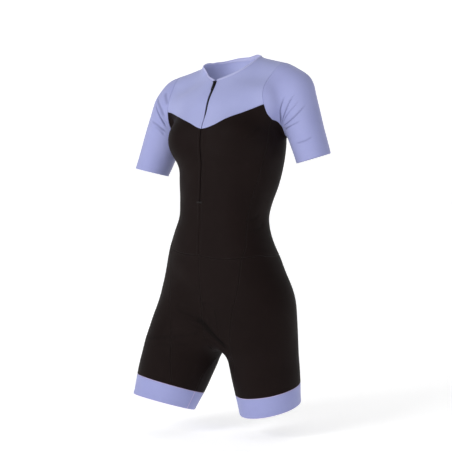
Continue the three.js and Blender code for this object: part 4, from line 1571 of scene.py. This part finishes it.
VIEW = math.radians(37.5)
ACROSS = Vector((math.cos(VIEW), math.sin(VIEW), 0))
TOWARD = Vector((math.sin(VIEW), -math.cos(VIEW), 0))
TARGET = ACROSS * -0.0175 + Vector((0, 0, -0.4))
CAMERA = {"sensor": 36, "lens": 1083.3 * 36 / 452, "far": 60, "away": 2.6}
FLOOR = -0.9


def aimed(thing, place, target):
    thing.location = place
    thing.rotation_euler = (target - place).to_track_quat("-Z", "Y").to_euler()
    bpy.context.scene.collection.objects.link(thing)


def take_photo():
    camera = bpy.data.cameras.new("camera")
    camera.sensor_width = CAMERA["sensor"]
    camera.lens = CAMERA["lens"]
    camera.clip_end = CAMERA["far"]
    thing = bpy.data.objects.new("camera", camera)
    aimed(thing, TARGET + TOWARD * CAMERA["away"], TARGET)
    bpy.context.scene.camera = thing


def studio_place(toward, across, up):
    return TOWARD * toward + ACROSS * across + Vector((0, 0, up))


def area_light(name, place, target, width, power):
    light = bpy.data.lights.new(name, "AREA")
    light.shape = "DISK"
    light.size = width
    light.energy = power
    aimed(bpy.data.objects.new(name, light), studio_place(*place), studio_place(*target))


LIGHTS = (
    # name, place and target in metres (towards the camera, across the picture, up), size, power
    ("key", (1.9, -1.9, 0.7), (0, 0, -0.4), 1.3, 42),
    ("fill", (2.2, 1.6, 0.2), (0, 0, -0.4), 2.0, 6),
    ("neck", (0.022, -0.0042, -0.11), (-0.0555, 0.0426, -0.02), 0.08, 0.115),
)
BACKDROP = {"front": 9.0, "behind": 3.0, "bend": 1.6, "top": 7.0, "half": 12.0}


def sweep():
    """The studio floor, which turns up smoothly behind the suit."""
    finish = Finish("studio_paper", roughness=0.9, emission_color=(1, 1, 1, 1))
    finish.feed(finish.shader, "Emission Strength", GLOW)
    mottled = finish.noise(3, 2)
    finish.colour(finish.mixed(mottled * 0.4, (0.93, 0.93, 0.93, 1), (0.91, 0.91, 0.915, 1)))
    turn = np.radians(np.linspace(0, 90, 25))
    bend = BACKDROP["bend"]
    away = [-BACKDROP["front"], *(BACKDROP["behind"] + bend * np.sin(turn)), BACKDROP["behind"] + bend]
    up = [0, *(bend - bend * np.cos(turn)), BACKDROP["top"]]
    points = []
    for a, height in zip(away, up):
        for side in (-1, 1):
            points.append(tuple(studio_place(-a, side * BACKDROP["half"], FLOOR + height)))
    faces = [(2 * i, 2 * i + 1, 2 * i + 3, 2 * i + 2) for i in range(len(away) - 1)]
    mesh = bpy.data.meshes.new("backdrop")
    mesh.from_pydata(points, [], faces)
    mesh.shade_smooth()
    mesh.materials.append(finish.material)
    backdrop = bpy.data.objects.new("backdrop", mesh)
    bpy.context.scene.collection.objects.link(backdrop)


GLOW = 0.42
WORLD = 0.42


def studio():
    sweep()
    world = bpy.data.worlds.new("studio")
    world.use_nodes = True
    world.node_tree.nodes["Background"].inputs["Color"].default_value = (1, 1, 1, 1)
    nodes, links = world.node_tree.nodes, world.node_tree.links
    strength = nodes.new("ShaderNodeMapRange")
    strength.inputs["To Min"].default_value = WORLD
    strength.inputs["To Max"].default_value = 1
    links.new(nodes.new("ShaderNodeLightPath").outputs["Is Camera Ray"], strength.inputs["Value"])
    links.new(strength.outputs["Result"], nodes["Background"].inputs["Strength"])
    bpy.context.scene.world = world
    for light in LIGHTS:
        area_light(*light)


take_photo()
studio()
bpy.context.scene.view_settings.view_transform = "Standard"
